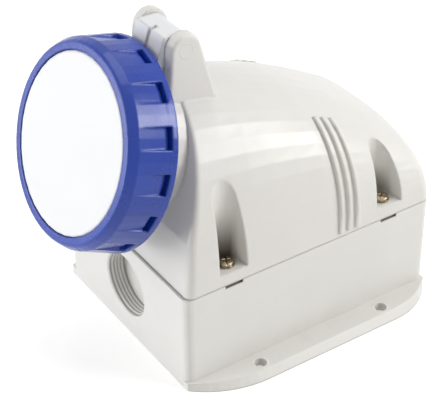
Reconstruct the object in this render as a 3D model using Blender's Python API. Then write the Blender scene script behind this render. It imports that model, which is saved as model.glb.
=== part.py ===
# Industrial wall socket, 63 A three-pin pattern, with a hinged lid and a bayonet locking ring.
# Frame: the back face lies in z = 0, +Z points away from the wall, the lid looks towards -Y,
# and X is the width. The origin is the centre of the back face. All lengths are in metres.

from math import acos, asin, atan2, cos, hypot, pi, radians, sin, tan

import bmesh
import bpy
from mathutils import Vector

# Clearances
FIT_GAP = 0.0003            # gap that touching pieces keep
OVERRUN = 0.004             # how far a cutter passes the face that it opens

# Back box
BOX_WIDTH = 0.130
BOX_LENGTH = 0.170
BOX_HEIGHT = 0.0630
BOX_WALL = 0.0048
BOX_FLOOR = 0.0035
BOX_CORNER = 0.005
FLANGE_WIDTH = 0.0174
FLANGE_THICKNESS = 0.005
FLANGE_EDGE_SLOPE = 0.0040
FLANGE_FRONT_SWEEP = 0.044
FLANGE_REAR_SWEEP = 0.034
WALL_HOLE_RADIUS = 0.0035
WALL_HOLE_OUT = 0.0077
WALL_HOLE_FRONT = 0.0437
WALL_HOLE_REAR = 0.0395
ENTRY_HEIGHT_SHARE = 0.519
ENTRY_RADIUS = 0.0195
ENTRY_MOUTH = 0.0011
ENTRY_DEPTH = 0.0110
ENTRY_MEMBRANE = 0.0015
ENTRY_BOSS_WALL = 0.0040
SCREW_BOSS_RADIUS = 0.0050
GROOVE_FROM_OUTSIDE = 0.0019
GROOVE_WIDTH = 0.0020
GROOVE_DEPTH = 0.0018
PRY_SLOT_LENGTH = 0.0115
PRY_SLOT_HEIGHT = 0.0018
PRY_SLOT_DEPTH = 0.0014
PARTING_GAP = 0.0004

# Cover screws and their pockets
SCREW_INSET_X = 0.0080
SCREW_INSET_Y = 0.0313
SCREW_SHANK_RADIUS = 0.0020
SCREW_HEAD_RADIUS = 0.0042
SCREW_HEAD_HEIGHT = 0.0026
SCREW_LENGTH = 0.030
SCREW_SLOT_WIDTH = 0.0009
SCREW_SLOT_DEPTH = 0.0012
POCKET_FLOOR_RISE = 0.0077
POCKET_HALF_WIDTH = 0.0074
POCKET_MOUTH_HALF_WIDTH = 0.0091
POCKET_FRONT_REACH = 0.0059
POCKET_REAR_REACH = 0.0110
POCKET_WALL = 0.0030

# Cover: a hood whose arched section falls and flattens from the front to the rear
COVER_WALL = 0.0042
COVER_SET_BACK = 0.0016
CREASE_RISE = 0.0296
RIDGE_FRONT_BACK = 0.0290
RIDGE_OVER_DISC = 0.0213
RIDGE_REAR_RISE = 0.0357
RIDGE_BOW = 0.0080
SECTION_FRONT_POWER = 1.95
SECTION_REAR_POWER = 2.5
SECTION_CHANGE_SHARE = 0.54
FRONT_EDGE_FOOT = 0.0045
FRONT_EDGE_TOP = 0.0015
REAR_EDGE_FOOT = 0.0050
REAR_EDGE_TOP = 0.0090
RIB_COUNT = 3
RIB_FIRST_SHARE = 0.612
RIB_PITCH = 0.0057
RIB_WIDTH = 0.0034
RIB_HEIGHT = 0.0018
RIB_SINK = 0.0020
RIB_FOOT_RISE = 0.0030
RIB_TOP_SHARE = 0.57
RIB_END_SHARE = 0.6
RIB_SHOULDER_SHARE = 0.45
RIB_TOP_WIDTH_SHARE = 0.6

# Socket axis and the neck that carries the plug
SOCKET_TILT = radians(20)
DISC_AHEAD = 0.0290
DISC_RISE = 0.0776
PLATE_DEPTH = 0.0485
NECK_MOUTH = 0.0090
NECK_RADIUS = 0.0392
NECK_LEAD = 0.0010
NECK_STOP_RADIUS = 0.0404
NECK_STOP_LENGTH = 0.0040
NECK_BORE = 0.0359
KEYWAY_WIDTH = 0.0090
KEYWAY_DEPTH = 0.0016
LUG_COUNT = 3
LUG_FIRST_ANGLE = radians(-90)
LUG_HALF_ANGLE = radians(8)
LUG_RAMP = radians(2)
COLLAR_OUTER = 0.0407
LUG_REACH = 0.0458
LUG_FRONT = 0.0125
LUG_THICKNESS = 0.0045

# Contact insert
CORE_RADIUS = 0.0290
CORE_FACE = 0.0220
CORE_BASE_FRONT = 0.0440
CORE_BASE_REAR = 0.0580
CORE_REAR = 0.0660
CORE_REAR_RADIUS = 0.0310
CORE_EDGE = 0.0012
SEAL_GROOVE_FRONT = 0.0470
SEAL_GROOVE_WIDTH = 0.0024
SEAL_GROOVE_DEPTH = 0.0016
INSERT_LUG_OUT = 0.0405
INSERT_LUG_RADIUS = 0.0045
INSERT_LUG_THICKNESS = 0.0045
INSERT_BOSS_RADIUS = 0.0042
INSERT_BOSS_RISE = 0.0040
SMALL_SHANK_RADIUS = 0.0017
SMALL_HEAD_RADIUS = 0.0032
SMALL_HEAD_HEIGHT = 0.0022
SMALL_SCREW_DEPTH = 0.0070
PIN_CIRCLE = 0.0185
PIN_MOUTH_DEPTH = 0.0050
COLLAR_THICKNESS = 0.0040
PLATE_THICKNESS = 0.0050
PLATE_SCREW_CIRCLE = 0.0245
TAIL_END = 0.0900
WIRE_BORE_DEPTH = 0.0140
CLAMP_SCREW_RADIUS = 0.0024
CLAMP_SCREW_FROM_END = 0.0060
CLAMP_SCREW_RISE = 0.0012

# Radii of the line and neutral contacts
POWER_MOUTH = 0.0046
POWER_SLEEVE = 0.0060
POWER_BORE = 0.0041
POWER_COLLAR = 0.0085
POWER_TAIL = 0.0070
POWER_WIRE = 0.0037

# Radii of the earth contact
EARTH_MOUTH = 0.0056
EARTH_SLEEVE = 0.0070
EARTH_BORE = 0.0051
EARTH_COLLAR = 0.0090
EARTH_TAIL = 0.0075
EARTH_WIRE = 0.0037

# Radii of the pilot contact
PILOT_MOUTH = 0.0034
PILOT_SLEEVE = 0.0043
PILOT_BORE = 0.0031
PILOT_COLLAR = 0.0057
PILOT_TAIL = 0.0046
PILOT_WIRE = 0.0018

# Hinge
HINGE_DEPTH = 0.0422
HINGE_RISE = 0.0635
PIN_RADIUS = 0.0030
EAR_INNER = 0.0136
EAR_OUTER = 0.0202
EAR_RADIUS = 0.0092
EAR_EDGE = 0.0016
EAR_ROUND_SHARE = 0.3
EAR_SKIN = 0.0015
EAR_FRONT_FOOT_AHEAD = 0.0112
EAR_FRONT_FOOT_DROP = 0.0250
EAR_LIP_DROP = 0.0310
EAR_REAR_FOOT_BACK = 0.0192
EAR_SINK = 0.0018
BRIDGE_FRONT = 0.0385
BRIDGE_REAR = 0.0560
BRIDGE_TOP = 0.0510

# Lid
DISC_RADIUS = 0.0490
DISC_RECESS = 0.0003
DISC_EDGE = 0.0006
LID_PLATE = 0.0030
RIM_RADIUS = 0.0512
RIM_FRONT = 0.0036
RIM_THICKNESS = 0.0031
SKIRT_RADIUS = 0.0468
SKIRT_WALL = 0.0034
SKIRT_END = 0.0110
SEAL_OUTER_SHARE = 0.985
ARM_HALF_WIDTH = 0.0132
ARM_FRONT = 0.0310
ARM_THICKNESS = 0.0050
TONGUE_THICKNESS = 0.0036
ARM_TOP_AHEAD = 0.0098
KNUCKLE_RADIUS = 0.0071
ARM_SLOT_WIDTH = 0.0024
ARM_SLOT_DEPTH = 0.0040
ARM_SLOT_FOOT = 0.0500

# Locking ring
RING_LENGTH = 0.0278
RING_FRONT_RADIUS = 0.0534
RING_EDGE = 0.0012
RING_CONE_RADIUS = 0.0566
RING_CONE_DEPTH = 0.0048
RING_REAR_RADIUS = 0.0590
RING_LIP = 0.0033
RING_BORE = 0.0496
RING_REAR_FLARE = 0.0024
GRIP_COUNT = 15
GRIP_FIRST_ANGLE = radians(5.4)
WINDOW_SHARE = 0.5
WINDOW_FALL = 0.0017
SLOT_FRONT = 0.0214
SLOT_FALL = 0.0026
SLOT_EDGE = 0.0003
WINDOW_END = 0.0242
WINDOW_DRAFT = radians(0.6)
CAM_REACH = 0.0440
CAM_GAP = 0.0021
CAM_THICKNESS = 0.0045
CAM_HALF_ANGLE = radians(10)
CAM_RAMP = radians(3)
STATION_GAP = radians(0.2)
RELEASE_ANGLE = radians(30)

# Smoothness of curved forms
ARCH_STEPS = 28
HOOD_STEPS = 9
EDGE_STEPS = 3
ROUND_STEPS = 36
SMALL_STEPS = 14
CORNER_STEPS = 4
RIB_STEPS = 8
POCKET_STEPS = 8
SOLVE_ROUNDS = 14
SHARP_ANGLE = radians(32)

# Places that follow from the sizes
HALF_WIDTH = BOX_WIDTH / 2
FRONT = -BOX_LENGTH / 2
REAR = BOX_LENGTH / 2
COVER_BOTTOM = BOX_HEIGHT + PARTING_GAP
ENTRY_HEIGHT = BOX_HEIGHT * ENTRY_HEIGHT_SHARE
DISC_HEIGHT = BOX_HEIGHT + DISC_RISE
RIDGE_FRONT_RISE = DISC_RISE + RIDGE_OVER_DISC - PARTING_GAP
CREASE_HEIGHT = COVER_BOTTOM + CREASE_RISE
SCREW_X = HALF_WIDTH - SCREW_INSET_X
SCREW_PLACES = [(side * SCREW_X, y)
                for y in (FRONT + SCREW_INSET_Y, REAR - SCREW_INSET_Y) for side in (-1, 1)]
POCKET_FLOOR = COVER_BOTTOM + POCKET_FLOOR_RISE
PLATE_BACK = PLATE_DEPTH + COVER_WALL
CORE_BASE_RADIUS = NECK_BORE - FIT_GAP - FIT_GAP / 3
LUG_REAR = LUG_FRONT + LUG_THICKNESS
CAM_FRONT = LUG_REAR + CAM_GAP
LUG_MIDDLES = [LUG_FIRST_ANGLE + 2 * pi * k / LUG_COUNT for k in range(LUG_COUNT)]
POWER_CONTACT = (POWER_MOUTH, POWER_SLEEVE, POWER_BORE, POWER_COLLAR, POWER_TAIL, POWER_WIRE)
EARTH_CONTACT = (EARTH_MOUTH, EARTH_SLEEVE, EARTH_BORE, EARTH_COLLAR, EARTH_TAIL, EARTH_WIRE)
PILOT_CONTACT = (PILOT_MOUTH, PILOT_SLEEVE, PILOT_BORE, PILOT_COLLAR, PILOT_TAIL, PILOT_WIRE)
CONTACTS = {"earth": (EARTH_CONTACT, radians(-90)), "line": (POWER_CONTACT, radians(30)),
            "neutral": (POWER_CONTACT, radians(150))}
PLATE_SCREW_ANGLES = (radians(90), radians(-30), radians(210))


def clear_scene():
    """Remove every object of the open file."""
    for item in list(bpy.data.objects):
        bpy.data.objects.remove(item, do_unlink=True)


def finish(name, colour, roughness, metallic=0.0):
    """Return a plain Principled material."""
    made = bpy.data.materials.new(name)
    made.use_nodes = True
    shader = made.node_tree.nodes["Principled BSDF"]
    shader.inputs["Base Color"].default_value = (*colour, 1.0)
    shader.inputs["Roughness"].default_value = roughness
    shader.inputs["Metallic"].default_value = metallic
    made.diffuse_color = (*colour, 1.0)
    return made


def empty(name, parent=None, location=(0, 0, 0), rotation=(0, 0, 0)):
    """Return an empty that carries other objects."""
    made = bpy.data.objects.new(name, None)
    bpy.context.collection.objects.link(made)
    made.parent = parent
    made.location = location
    made.rotation_euler = rotation
    return made


def solid(name, points, faces, parent=None, material=None, smooth=True):
    """Return a closed mesh object with its faces turned outwards."""
    mesh = bpy.data.meshes.new(name)
    mesh.from_pydata([tuple(p) for p in points], [], faces)
    work = bmesh.new()
    work.from_mesh(mesh)
    bmesh.ops.recalc_face_normals(work, faces=work.faces)
    work.to_mesh(mesh)
    work.free()
    if smooth:
        mesh.shade_smooth()
        mesh.set_sharp_from_angle(angle=SHARP_ANGLE)
    made = bpy.data.objects.new(name, mesh)
    bpy.context.collection.objects.link(made)
    made.parent = parent
    if material is not None:
        made.data.materials.append(material)
    return made


def combine(target, other, operation="DIFFERENCE"):
    """Cut, join or intersect a target with another object, which becomes a hidden guide."""
    other.hide_render = True
    other.display_type = "WIRE"
    step = target.modifiers.new(other.name, "BOOLEAN")
    step.solver = "EXACT"
    step.operation = operation
    step.object = other
    return target


def lofted(name, rings, parent=None, material=None, smooth=True):
    """Return a solid through rings of equally many points, closed at both ends."""
    count = len(rings[0])
    points = [p for ring in rings for p in ring]
    faces = [tuple(range(count)), tuple(range((len(rings) - 1) * count, len(rings) * count))]
    for row in range(len(rings) - 1):
        low, high = row * count, (row + 1) * count
        for k in range(count):
            after = (k + 1) % count
            faces.append((low + k, low + after, high + after, high + k))
    return solid(name, points, faces, parent, material, smooth)


def prism(name, outline, low, high, axis="Z", parent=None, material=None, smooth=True):
    """Return an outline pushed along an axis from low to high."""
    place = {"X": lambda u, v, w: (w, u, v), "Y": lambda u, v, w: (u, w, v),
             "Z": lambda u, v, w: (u, v, w)}[axis]
    rings = [[place(u, v, w) for u, v in outline] for w in (low, high)]
    return lofted(name, rings, parent, material, smooth)


def circle(radius, steps=SMALL_STEPS, centre=(0, 0)):
    """Return the points of a circle."""
    return [(centre[0] + radius * cos(2 * pi * k / steps), centre[1] + radius * sin(2 * pi * k / steps))
            for k in range(steps)]


def arc(centre, radius, start, end, steps):
    """Return points along an arc, both ends included."""
    return [(centre[0] + radius * cos(start + (end - start) * k / steps),
             centre[1] + radius * sin(start + (end - start) * k / steps)) for k in range(steps + 1)]


def rectangle(left, right, low, high):
    """Return the four corners of a rectangle."""
    return [(left, low), (right, low), (right, high), (left, high)]


def rounded_rectangle(half_width, half_length, radius):
    """Return a rectangle with round corners, centred on zero."""
    outline = []
    for corner, (sx, sy) in enumerate(((1, 1), (-1, 1), (-1, -1), (1, -1))):
        centre = (sx * (half_width - radius), sy * (half_length - radius))
        outline += arc(centre, radius, corner * pi / 2, (corner + 1) * pi / 2, CORNER_STEPS)
    return outline


def turned(name, profile, parent=None, material=None, steps=ROUND_STEPS, smooth=True):
    """Return a profile of (radius, depth) points turned about the local z axis, depth running to -z."""
    points, rows, faces = [], [], []
    for radius, depth in profile:
        if radius == 0:
            rows.append(None)
            continue
        rows.append([len(points) + k for k in range(steps)])
        points += [(x, y, -depth) for x, y in circle(radius, steps)]
    for row, here in enumerate(rows):
        there = rows[(row + 1) % len(rows)]
        if here and there:
            faces += [(here[k], here[(k + 1) % steps], there[(k + 1) % steps], there[k])
                      for k in range(steps)]
        elif here or there:
            faces.append(tuple(here or there))
    return solid(name, points, faces, parent, material, smooth)


def polar(radius, angle):
    """Return the two coordinates of a polar place."""
    return radius * cos(angle), radius * sin(angle)


def near_share(angle, middles, flat, ramp):
    """Return 1 within a flat half-width of any middle angle, falling to 0 over the ramp."""
    distance = min(abs((angle - middle + pi) % (2 * pi) - pi) for middle in middles)
    return min(1.0, max(0.0, (flat + ramp - distance) / ramp))


def in_order(angles):
    """Return the angles in order round the circle, without near repeats."""
    kept = []
    for angle in sorted(a % (2 * pi) for a in angles):
        if not kept or angle - kept[-1] > STATION_GAP:
            kept.append(angle)
    return kept


def closed_band(name, stations, parent, material):
    """Return a ring through (angle, section) stations, each section a list of (radius, depth)."""
    points, rows = [], []
    for angle, section in stations:
        rows.append([len(points) + k for k in range(len(section))])
        points += [(*polar(radius, angle), -depth) for radius, depth in section]
    count = len(rows[0])
    faces = [(here[k], here[(k + 1) % count], there[(k + 1) % count], there[k])
             for here, there in zip(rows, rows[1:] + rows[:1]) for k in range(count)]
    return solid(name, points, faces, parent, material)


def drawn_in(outline, inset):
    """Return a closed outline with every edge moved inwards by an inset."""
    area = sum(a[0] * b[1] - b[0] * a[1] for a, b in zip(outline, outline[1:] + outline[:1]))
    turn = 1 if area > 0 else -1
    moved = []
    for k, here in enumerate(outline):
        first = (Vector(here) - Vector(outline[k - 1])).normalized()
        second = (Vector(outline[(k + 1) % len(outline)]) - Vector(here)).normalized()
        edge = Vector((-first.y, first.x)) * turn
        bisector = (edge + Vector((-second.y, second.x)) * turn).normalized()
        moved.append(tuple(Vector(here) + bisector * inset / bisector.dot(edge)))
    return moved


# The tilted socket axis

def axis_place(depth, rise):
    """Return the (y, z) of a place given by its depth behind the disc and its rise above the axis."""
    y = FRONT - DISC_AHEAD + cos(SOCKET_TILT) * depth + sin(SOCKET_TILT) * rise
    z = DISC_HEIGHT - sin(SOCKET_TILT) * depth + cos(SOCKET_TILT) * rise
    return y, z


def axis_frame():
    """Return the empty whose local z looks out of the socket, with its origin in the disc's face."""
    y, z = axis_place(0, 0)
    return empty("socket_axis", location=(0, y, z), rotation=(pi / 2 - SOCKET_TILT, 0, 0))


# The back box

def flange_outline(width):
    """Return the outline of the foot, whose sides swell out to the flanges."""
    side = []
    for sweep, end, direction in ((FLANGE_FRONT_SWEEP, FRONT, 1), (FLANGE_REAR_SWEEP, REAR, -1)):
        radius = (sweep ** 2 + width ** 2) / (2 * width)
        span = asin(min(1.0, sweep / radius))
        stretch = [(HALF_WIDTH + width - radius + radius * cos(span * (1 - k / (2 * CORNER_STEPS))),
                    end + direction * (sweep - radius * sin(span * (1 - k / (2 * CORNER_STEPS)))))
                   for k in range(2 * CORNER_STEPS + 1)]
        side += stretch if direction > 0 else stretch[::-1]
    return side + [(-x, y) for x, y in side[::-1]]


def back_box(material):
    """Build the open box with its foot, entry, bosses and seal groove."""
    box = prism("back_box", rounded_rectangle(HALF_WIDTH, REAR, BOX_CORNER), 0, BOX_HEIGHT,
                material=material)
    rings = [[(x, y, z) for x, y in flange_outline(width)]
             for width, z in ((FLANGE_WIDTH, 0), (FLANGE_WIDTH - FLANGE_EDGE_SLOPE, FLANGE_THICKNESS))]
    combine(box, lofted("box_foot", rings), "UNION")
    combine(box, box_cavity())
    combine(box, entry_bore())
    groove_outer = GROOVE_FROM_OUTSIDE
    combine(box, rim_ring("box_seal_groove", groove_outer, groove_outer + GROOVE_WIDTH,
                          BOX_HEIGHT - GROOVE_DEPTH, BOX_HEIGHT + OVERRUN))
    for index, (x, y) in enumerate(SCREW_PLACES):
        depth = POCKET_FLOOR - SCREW_LENGTH - FIT_GAP
        combine(box, prism(f"box_screw_hole_{index}", circle(SCREW_SHANK_RADIUS + FIT_GAP, centre=(x, y)),
                           depth, BOX_HEIGHT + OVERRUN))
        side = 1 if x > 0 else -1
        edges = sorted((side * (HALF_WIDTH - PRY_SLOT_DEPTH), side * (HALF_WIDTH + OVERRUN)))
        slot = rectangle(*edges, y - PRY_SLOT_LENGTH / 2, y + PRY_SLOT_LENGTH / 2)
        combine(box, prism(f"box_pry_slot_{index}", slot, BOX_HEIGHT - PRY_SLOT_HEIGHT,
                           BOX_HEIGHT + OVERRUN, smooth=False))
    places = [(side, y) for y in (FRONT + WALL_HOLE_FRONT, REAR - WALL_HOLE_REAR) for side in (-1, 1)]
    for index, (side, y) in enumerate(places):
        centre = (side * (HALF_WIDTH + WALL_HOLE_OUT), y)
        combine(box, prism(f"wall_hole_{index}", circle(WALL_HOLE_RADIUS, centre=centre),
                           -OVERRUN, FLANGE_THICKNESS + OVERRUN))
    return box


def box_cavity():
    """Return the cutter for the inside of the box, less the screw bosses and the entry boss."""
    inner = BOX_WALL
    cavity = prism("box_cavity", rounded_rectangle(HALF_WIDTH - inner, REAR - inner, BOX_CORNER),
                   BOX_FLOOR, BOX_HEIGHT + OVERRUN)
    for index, (x, y) in enumerate(SCREW_PLACES):
        side = 1 if x > 0 else -1
        half = SCREW_BOSS_RADIUS
        inside = arc((x, y), half, side * pi / 2, side * 3 * pi / 2, SMALL_STEPS // 2)
        outline = inside + [(side * (HALF_WIDTH + OVERRUN), y - half), (side * (HALF_WIDTH + OVERRUN), y + half)]
        combine(cavity, prism(f"box_boss_{index}", outline, -OVERRUN, BOX_HEIGHT + 2 * OVERRUN))
    reach = ENTRY_DEPTH + ENTRY_MEMBRANE
    boss = circle(ENTRY_RADIUS + ENTRY_BOSS_WALL, ROUND_STEPS, centre=(0, ENTRY_HEIGHT))
    combine(cavity, prism("box_entry_boss", boss, FRONT - OVERRUN, FRONT + reach, axis="Y"))
    return cavity


def entry_bore():
    """Return the cutter for the cable entry, blind behind its membrane, with a chamfered mouth."""
    rings = []
    for radius, depth in ((ENTRY_RADIUS + ENTRY_MOUTH + OVERRUN, -OVERRUN), (ENTRY_RADIUS, ENTRY_MOUTH),
                          (ENTRY_RADIUS, ENTRY_DEPTH)):
        rings.append([(x, FRONT + depth, z)
                      for x, z in circle(radius, ROUND_STEPS, centre=(0, ENTRY_HEIGHT))])
    return lofted("box_entry_bore", rings)


def rim_ring(name, outer, inner, low, high, material=None):
    """Return a closed band that follows the rim, between two distances from the outside."""
    outlines = [rounded_rectangle(HALF_WIDTH - inset, REAR - inset, BOX_CORNER - inset / 2)
                for inset in (outer, inner)]
    count = len(outlines[0])
    points = [(x, y, z) for outline in outlines for z in (low, high) for x, y in outline]
    faces = []
    for first, second in ((0, 1), (1, 3), (3, 2), (2, 0)):
        for k in range(count):
            after = (k + 1) % count
            faces.append((first * count + k, first * count + after,
                          second * count + after, second * count + k))
    return solid(name, points, faces, material=material)


def box_seal(material):
    """Build the rubber cord that lies in the rim groove."""
    outer = GROOVE_FROM_OUTSIDE + FIT_GAP
    inner = GROOVE_FROM_OUTSIDE + GROOVE_WIDTH - FIT_GAP
    return rim_ring("box_seal", outer, inner, BOX_HEIGHT - GROOVE_DEPTH + FIT_GAP,
                    COVER_BOTTOM - FIT_GAP, material)


# The hood's surface

def front_face(z):
    """Return the y of the hood's front: nearly upright at the foot, square to the socket axis above."""
    crease = axis_place(0, 0)[0] + (PLATE_DEPTH + sin(SOCKET_TILT) * (CREASE_HEIGHT - DISC_HEIGHT)) \
        / cos(SOCKET_TILT)
    if z < CREASE_HEIGHT:
        share = (z - COVER_BOTTOM) / CREASE_RISE
        return FRONT + COVER_SET_BACK + (crease - FRONT - COVER_SET_BACK) * max(0.0, share)
    return crease + tan(SOCKET_TILT) * (z - CREASE_HEIGHT)


def ridge_share(y):
    """Return how far a place lies along the ridge, 0 at its front and 1 at the rear wall."""
    start = FRONT + RIDGE_FRONT_BACK
    return (y - start) / (REAR - start)


def ridge_rise(y):
    """Return the ridge's rise above the parting plane."""
    share = ridge_share(y)
    straight = RIDGE_FRONT_RISE + (RIDGE_REAR_RISE - RIDGE_FRONT_RISE) * share
    return straight + 4 * RIDGE_BOW * share * (1 - share)


def section_power(y):
    """Return the exponent of the arch: an ellipse in front, squarer behind."""
    share = min(1.0, max(0.0, ridge_share(y) / SECTION_CHANGE_SHARE))
    return SECTION_FRONT_POWER + (SECTION_REAR_POWER - SECTION_FRONT_POWER) * share


def arch_point(angle, y, inset=0.0):
    """Return the (x, z) of the arch at a station, drawn in by an inset."""
    power = 2 / section_power(y)
    x = (HALF_WIDTH - inset) * abs(cos(angle)) ** power
    z = COVER_BOTTOM + (ridge_rise(y) - inset) * abs(sin(angle)) ** power
    return (x if angle < pi / 2 else -x), z


def hood_point(angle, share, ahead, behind, inset):
    """Return a point of the hood between its front face and its rear wall."""
    y = FRONT
    for _ in range(SOLVE_ROUNDS):
        x, z = arch_point(angle, y, inset)
        start = front_face(z) + ahead
        y = start + (REAR - behind - start) * share
    return x, y, z


def hood_rows(wall):
    """Return the rows of the hood's surface from the front to the rear, with rounded end edges."""
    angles = [pi * k / ARCH_STEPS for k in range(ARCH_STEPS + 1)]
    rows = []
    if wall > 0:
        for k in range(HOOD_STEPS + 1):
            rows.append([hood_point(a, k / HOOD_STEPS, wall / cos(SOCKET_TILT), wall, wall)
                         for a in angles])
        return rows
    turns = [pi / 2 * k / EDGE_STEPS for k in range(EDGE_STEPS + 1)]
    front = [FRONT_EDGE_FOOT + (FRONT_EDGE_TOP - FRONT_EDGE_FOOT) * sin(a) for a in angles]
    rear = [REAR_EDGE_FOOT + (REAR_EDGE_TOP - REAR_EDGE_FOOT) * sin(a) for a in angles]
    for turn in turns:
        rows.append([hood_point(a, 0, r * (1 - cos(turn)), 0, r * (1 - sin(turn)))
                     for a, r in zip(angles, front)])
    for k in range(1, HOOD_STEPS):
        rows.append([hood_point(a, k / HOOD_STEPS, f, r, 0) for a, f, r in zip(angles, front, rear)])
    for turn in turns[::-1]:
        rows.append([hood_point(a, 1, 0, r * (1 - cos(turn)), r * (1 - sin(turn)))
                     for a, r in zip(angles, rear)])
    return rows


def hood_solid(name, wall=0.0, material=None):
    """Return the hood filled down to the parting plane, or its inside when a wall is given."""
    rows = hood_rows(wall)
    if wall > 0:
        rows = [[(x0, y0, z0 - OVERRUN)] + [(x0, y0, z0)] + row[1:-1] + [(x1, y1, z1), (x1, y1, z1 - OVERRUN)]
                for row in rows for (x0, y0, z0), (x1, y1, z1) in ((row[0], row[-1]),)]
    across = len(rows[0])
    points = [p for row in rows for p in row]
    faces = []
    for i in range(len(rows) - 1):
        for j in range(across - 1):
            a = i * across + j
            faces.append((a, a + 1, a + across + 1, a + across))
        faces.append((i * across, (i + 1) * across, (i + 2) * across - 1, (i + 1) * across - 1))
    for row in (0, len(rows) - 1):
        base = row * across
        for j in range(across // 2):
            ring = (base + j, base + j + 1, base + across - 2 - j, base + across - 1 - j)
            unique = tuple(dict.fromkeys(ring))
            if len(unique) > 2:
                faces.append(unique)
    return solid(name, points, faces, material=material)


def pocket_outline(x, y, grow):
    """Return the plan of a screw pocket: a half ellipse inwards, flaring to its mouth in the side."""
    side = 1 if x > 0 else -1
    reach = POCKET_FRONT_REACH if y < 0 else POCKET_REAR_REACH
    count = POCKET_STEPS
    inside = [(x - side * (reach + grow) * sin(pi * k / count),
               y + (POCKET_HALF_WIDTH + grow) * cos(pi * k / count)) for k in range(count + 1)]
    flare = (POCKET_MOUTH_HALF_WIDTH - POCKET_HALF_WIDTH) / SCREW_INSET_X
    mouth = POCKET_HALF_WIDTH + flare * (SCREW_INSET_X + OVERRUN) + grow
    far = side * (HALF_WIDTH + OVERRUN)
    return inside + [(far, y - mouth), (far, y + mouth)]


def rib(index, side, y):
    """Return one raised rib that runs up the side and over the shoulder."""
    power = section_power(y)
    start = asin(min(1.0, (RIB_FOOT_RISE / ridge_rise(y)) ** (power / 2)))
    end = acos(RIB_TOP_SHARE ** (power / 2))
    rings = []
    for k in range(RIB_STEPS + 1):
        angle = start + (end - start) * k / RIB_STEPS
        here, ahead = arch_point(angle, y), arch_point(angle + SHARP_ANGLE / ARCH_STEPS, y)
        along = Vector((ahead[0] - here[0], ahead[1] - here[1])).normalized()
        height = RIB_HEIGHT * (RIB_END_SHARE if k in (0, RIB_STEPS) else 1)
        ring = []
        for spread, lift in ((-1, -RIB_SINK), (-1, RIB_SHOULDER_SHARE * height), (-RIB_TOP_WIDTH_SHARE, height),
                             (RIB_TOP_WIDTH_SHARE, height), (1, RIB_SHOULDER_SHARE * height), (1, -RIB_SINK)):
            station = y + spread * RIB_WIDTH / 2
            x, z = arch_point(angle, station)
            ring.append((side * (x + along.y * lift), station, z - along.x * lift))
        rings.append(ring)
    return lofted(f"cover_rib_{index}", rings)


def tangent_point(foot, centre, radius, side):
    """Return where a line from a foot touches a circle, on its left (1) or right (-1)."""
    reach = hypot(foot[0] - centre[0], foot[1] - centre[1])
    heading = atan2(foot[1] - centre[1], foot[0] - centre[0])
    turn = heading + side * acos(min(1.0, radius / reach))
    return turn


def ear_outline():
    """Return the outline of a hinge ear in the y-z plane, its foot sunk into the hood."""
    pin = axis_place(HINGE_DEPTH, HINGE_RISE)
    rear_y = pin[0] + EAR_REAR_FOOT_BACK
    front_foot = (pin[0] - EAR_FRONT_FOOT_AHEAD, pin[1] - EAR_FRONT_FOOT_DROP)
    slope = acos(min(1.0, EAR_OUTER / HALF_WIDTH))
    rear_foot = (rear_y, arch_point(slope, rear_y)[1] - EAR_SINK)
    seat_y = front_face(pin[1] - EAR_LIP_DROP) + EAR_SINK
    seat = (seat_y, arch_point(slope, seat_y)[1] - EAR_SINK)
    lip = (front_foot[0] + EAR_SINK, pin[1] - EAR_LIP_DROP)
    start = tangent_point(rear_foot, pin, EAR_RADIUS, 1)
    end = tangent_point(front_foot, pin, EAR_RADIUS, -1)
    if end < start:
        end += 2 * pi
    return [rear_foot] + arc(pin, EAR_RADIUS, start, end, SMALL_STEPS // 2) + [front_foot, lip, seat]


def neck(axis):
    """Return the neck as a filled plug with the bead that stops its collar, to be bored later."""
    stop = LUG_REAR + FIT_GAP
    profile = [(0, NECK_MOUTH), (NECK_RADIUS - NECK_LEAD, NECK_MOUTH), (NECK_RADIUS, NECK_MOUTH + NECK_LEAD),
               (NECK_RADIUS, stop), (NECK_STOP_RADIUS, stop), (NECK_STOP_RADIUS, stop + NECK_STOP_LENGTH),
               (NECK_RADIUS, stop + NECK_STOP_LENGTH), (NECK_RADIUS, PLATE_DEPTH + EAR_SINK),
               (0, PLATE_DEPTH + EAR_SINK)]
    return turned("cover_neck", profile, axis)


def neck_bore(axis):
    """Return the cutter for the neck's bore with its keyway."""
    profile = [(0, NECK_MOUTH - OVERRUN), (NECK_BORE, NECK_MOUTH - OVERRUN),
               (NECK_BORE, CORE_BASE_REAR + FIT_GAP), (0, CORE_BASE_REAR + FIT_GAP)]
    bore = turned("cover_bore", profile, axis)
    key = rectangle(-KEYWAY_WIDTH / 2, KEYWAY_WIDTH / 2, -NECK_BORE - KEYWAY_DEPTH, -NECK_BORE + OVERRUN)
    return combine(bore, prism("cover_keyway", key, -CORE_BASE_FRONT + FIT_GAP, -NECK_MOUTH + OVERRUN / 2,
                               parent=axis, smooth=False), "UNION")


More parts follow.
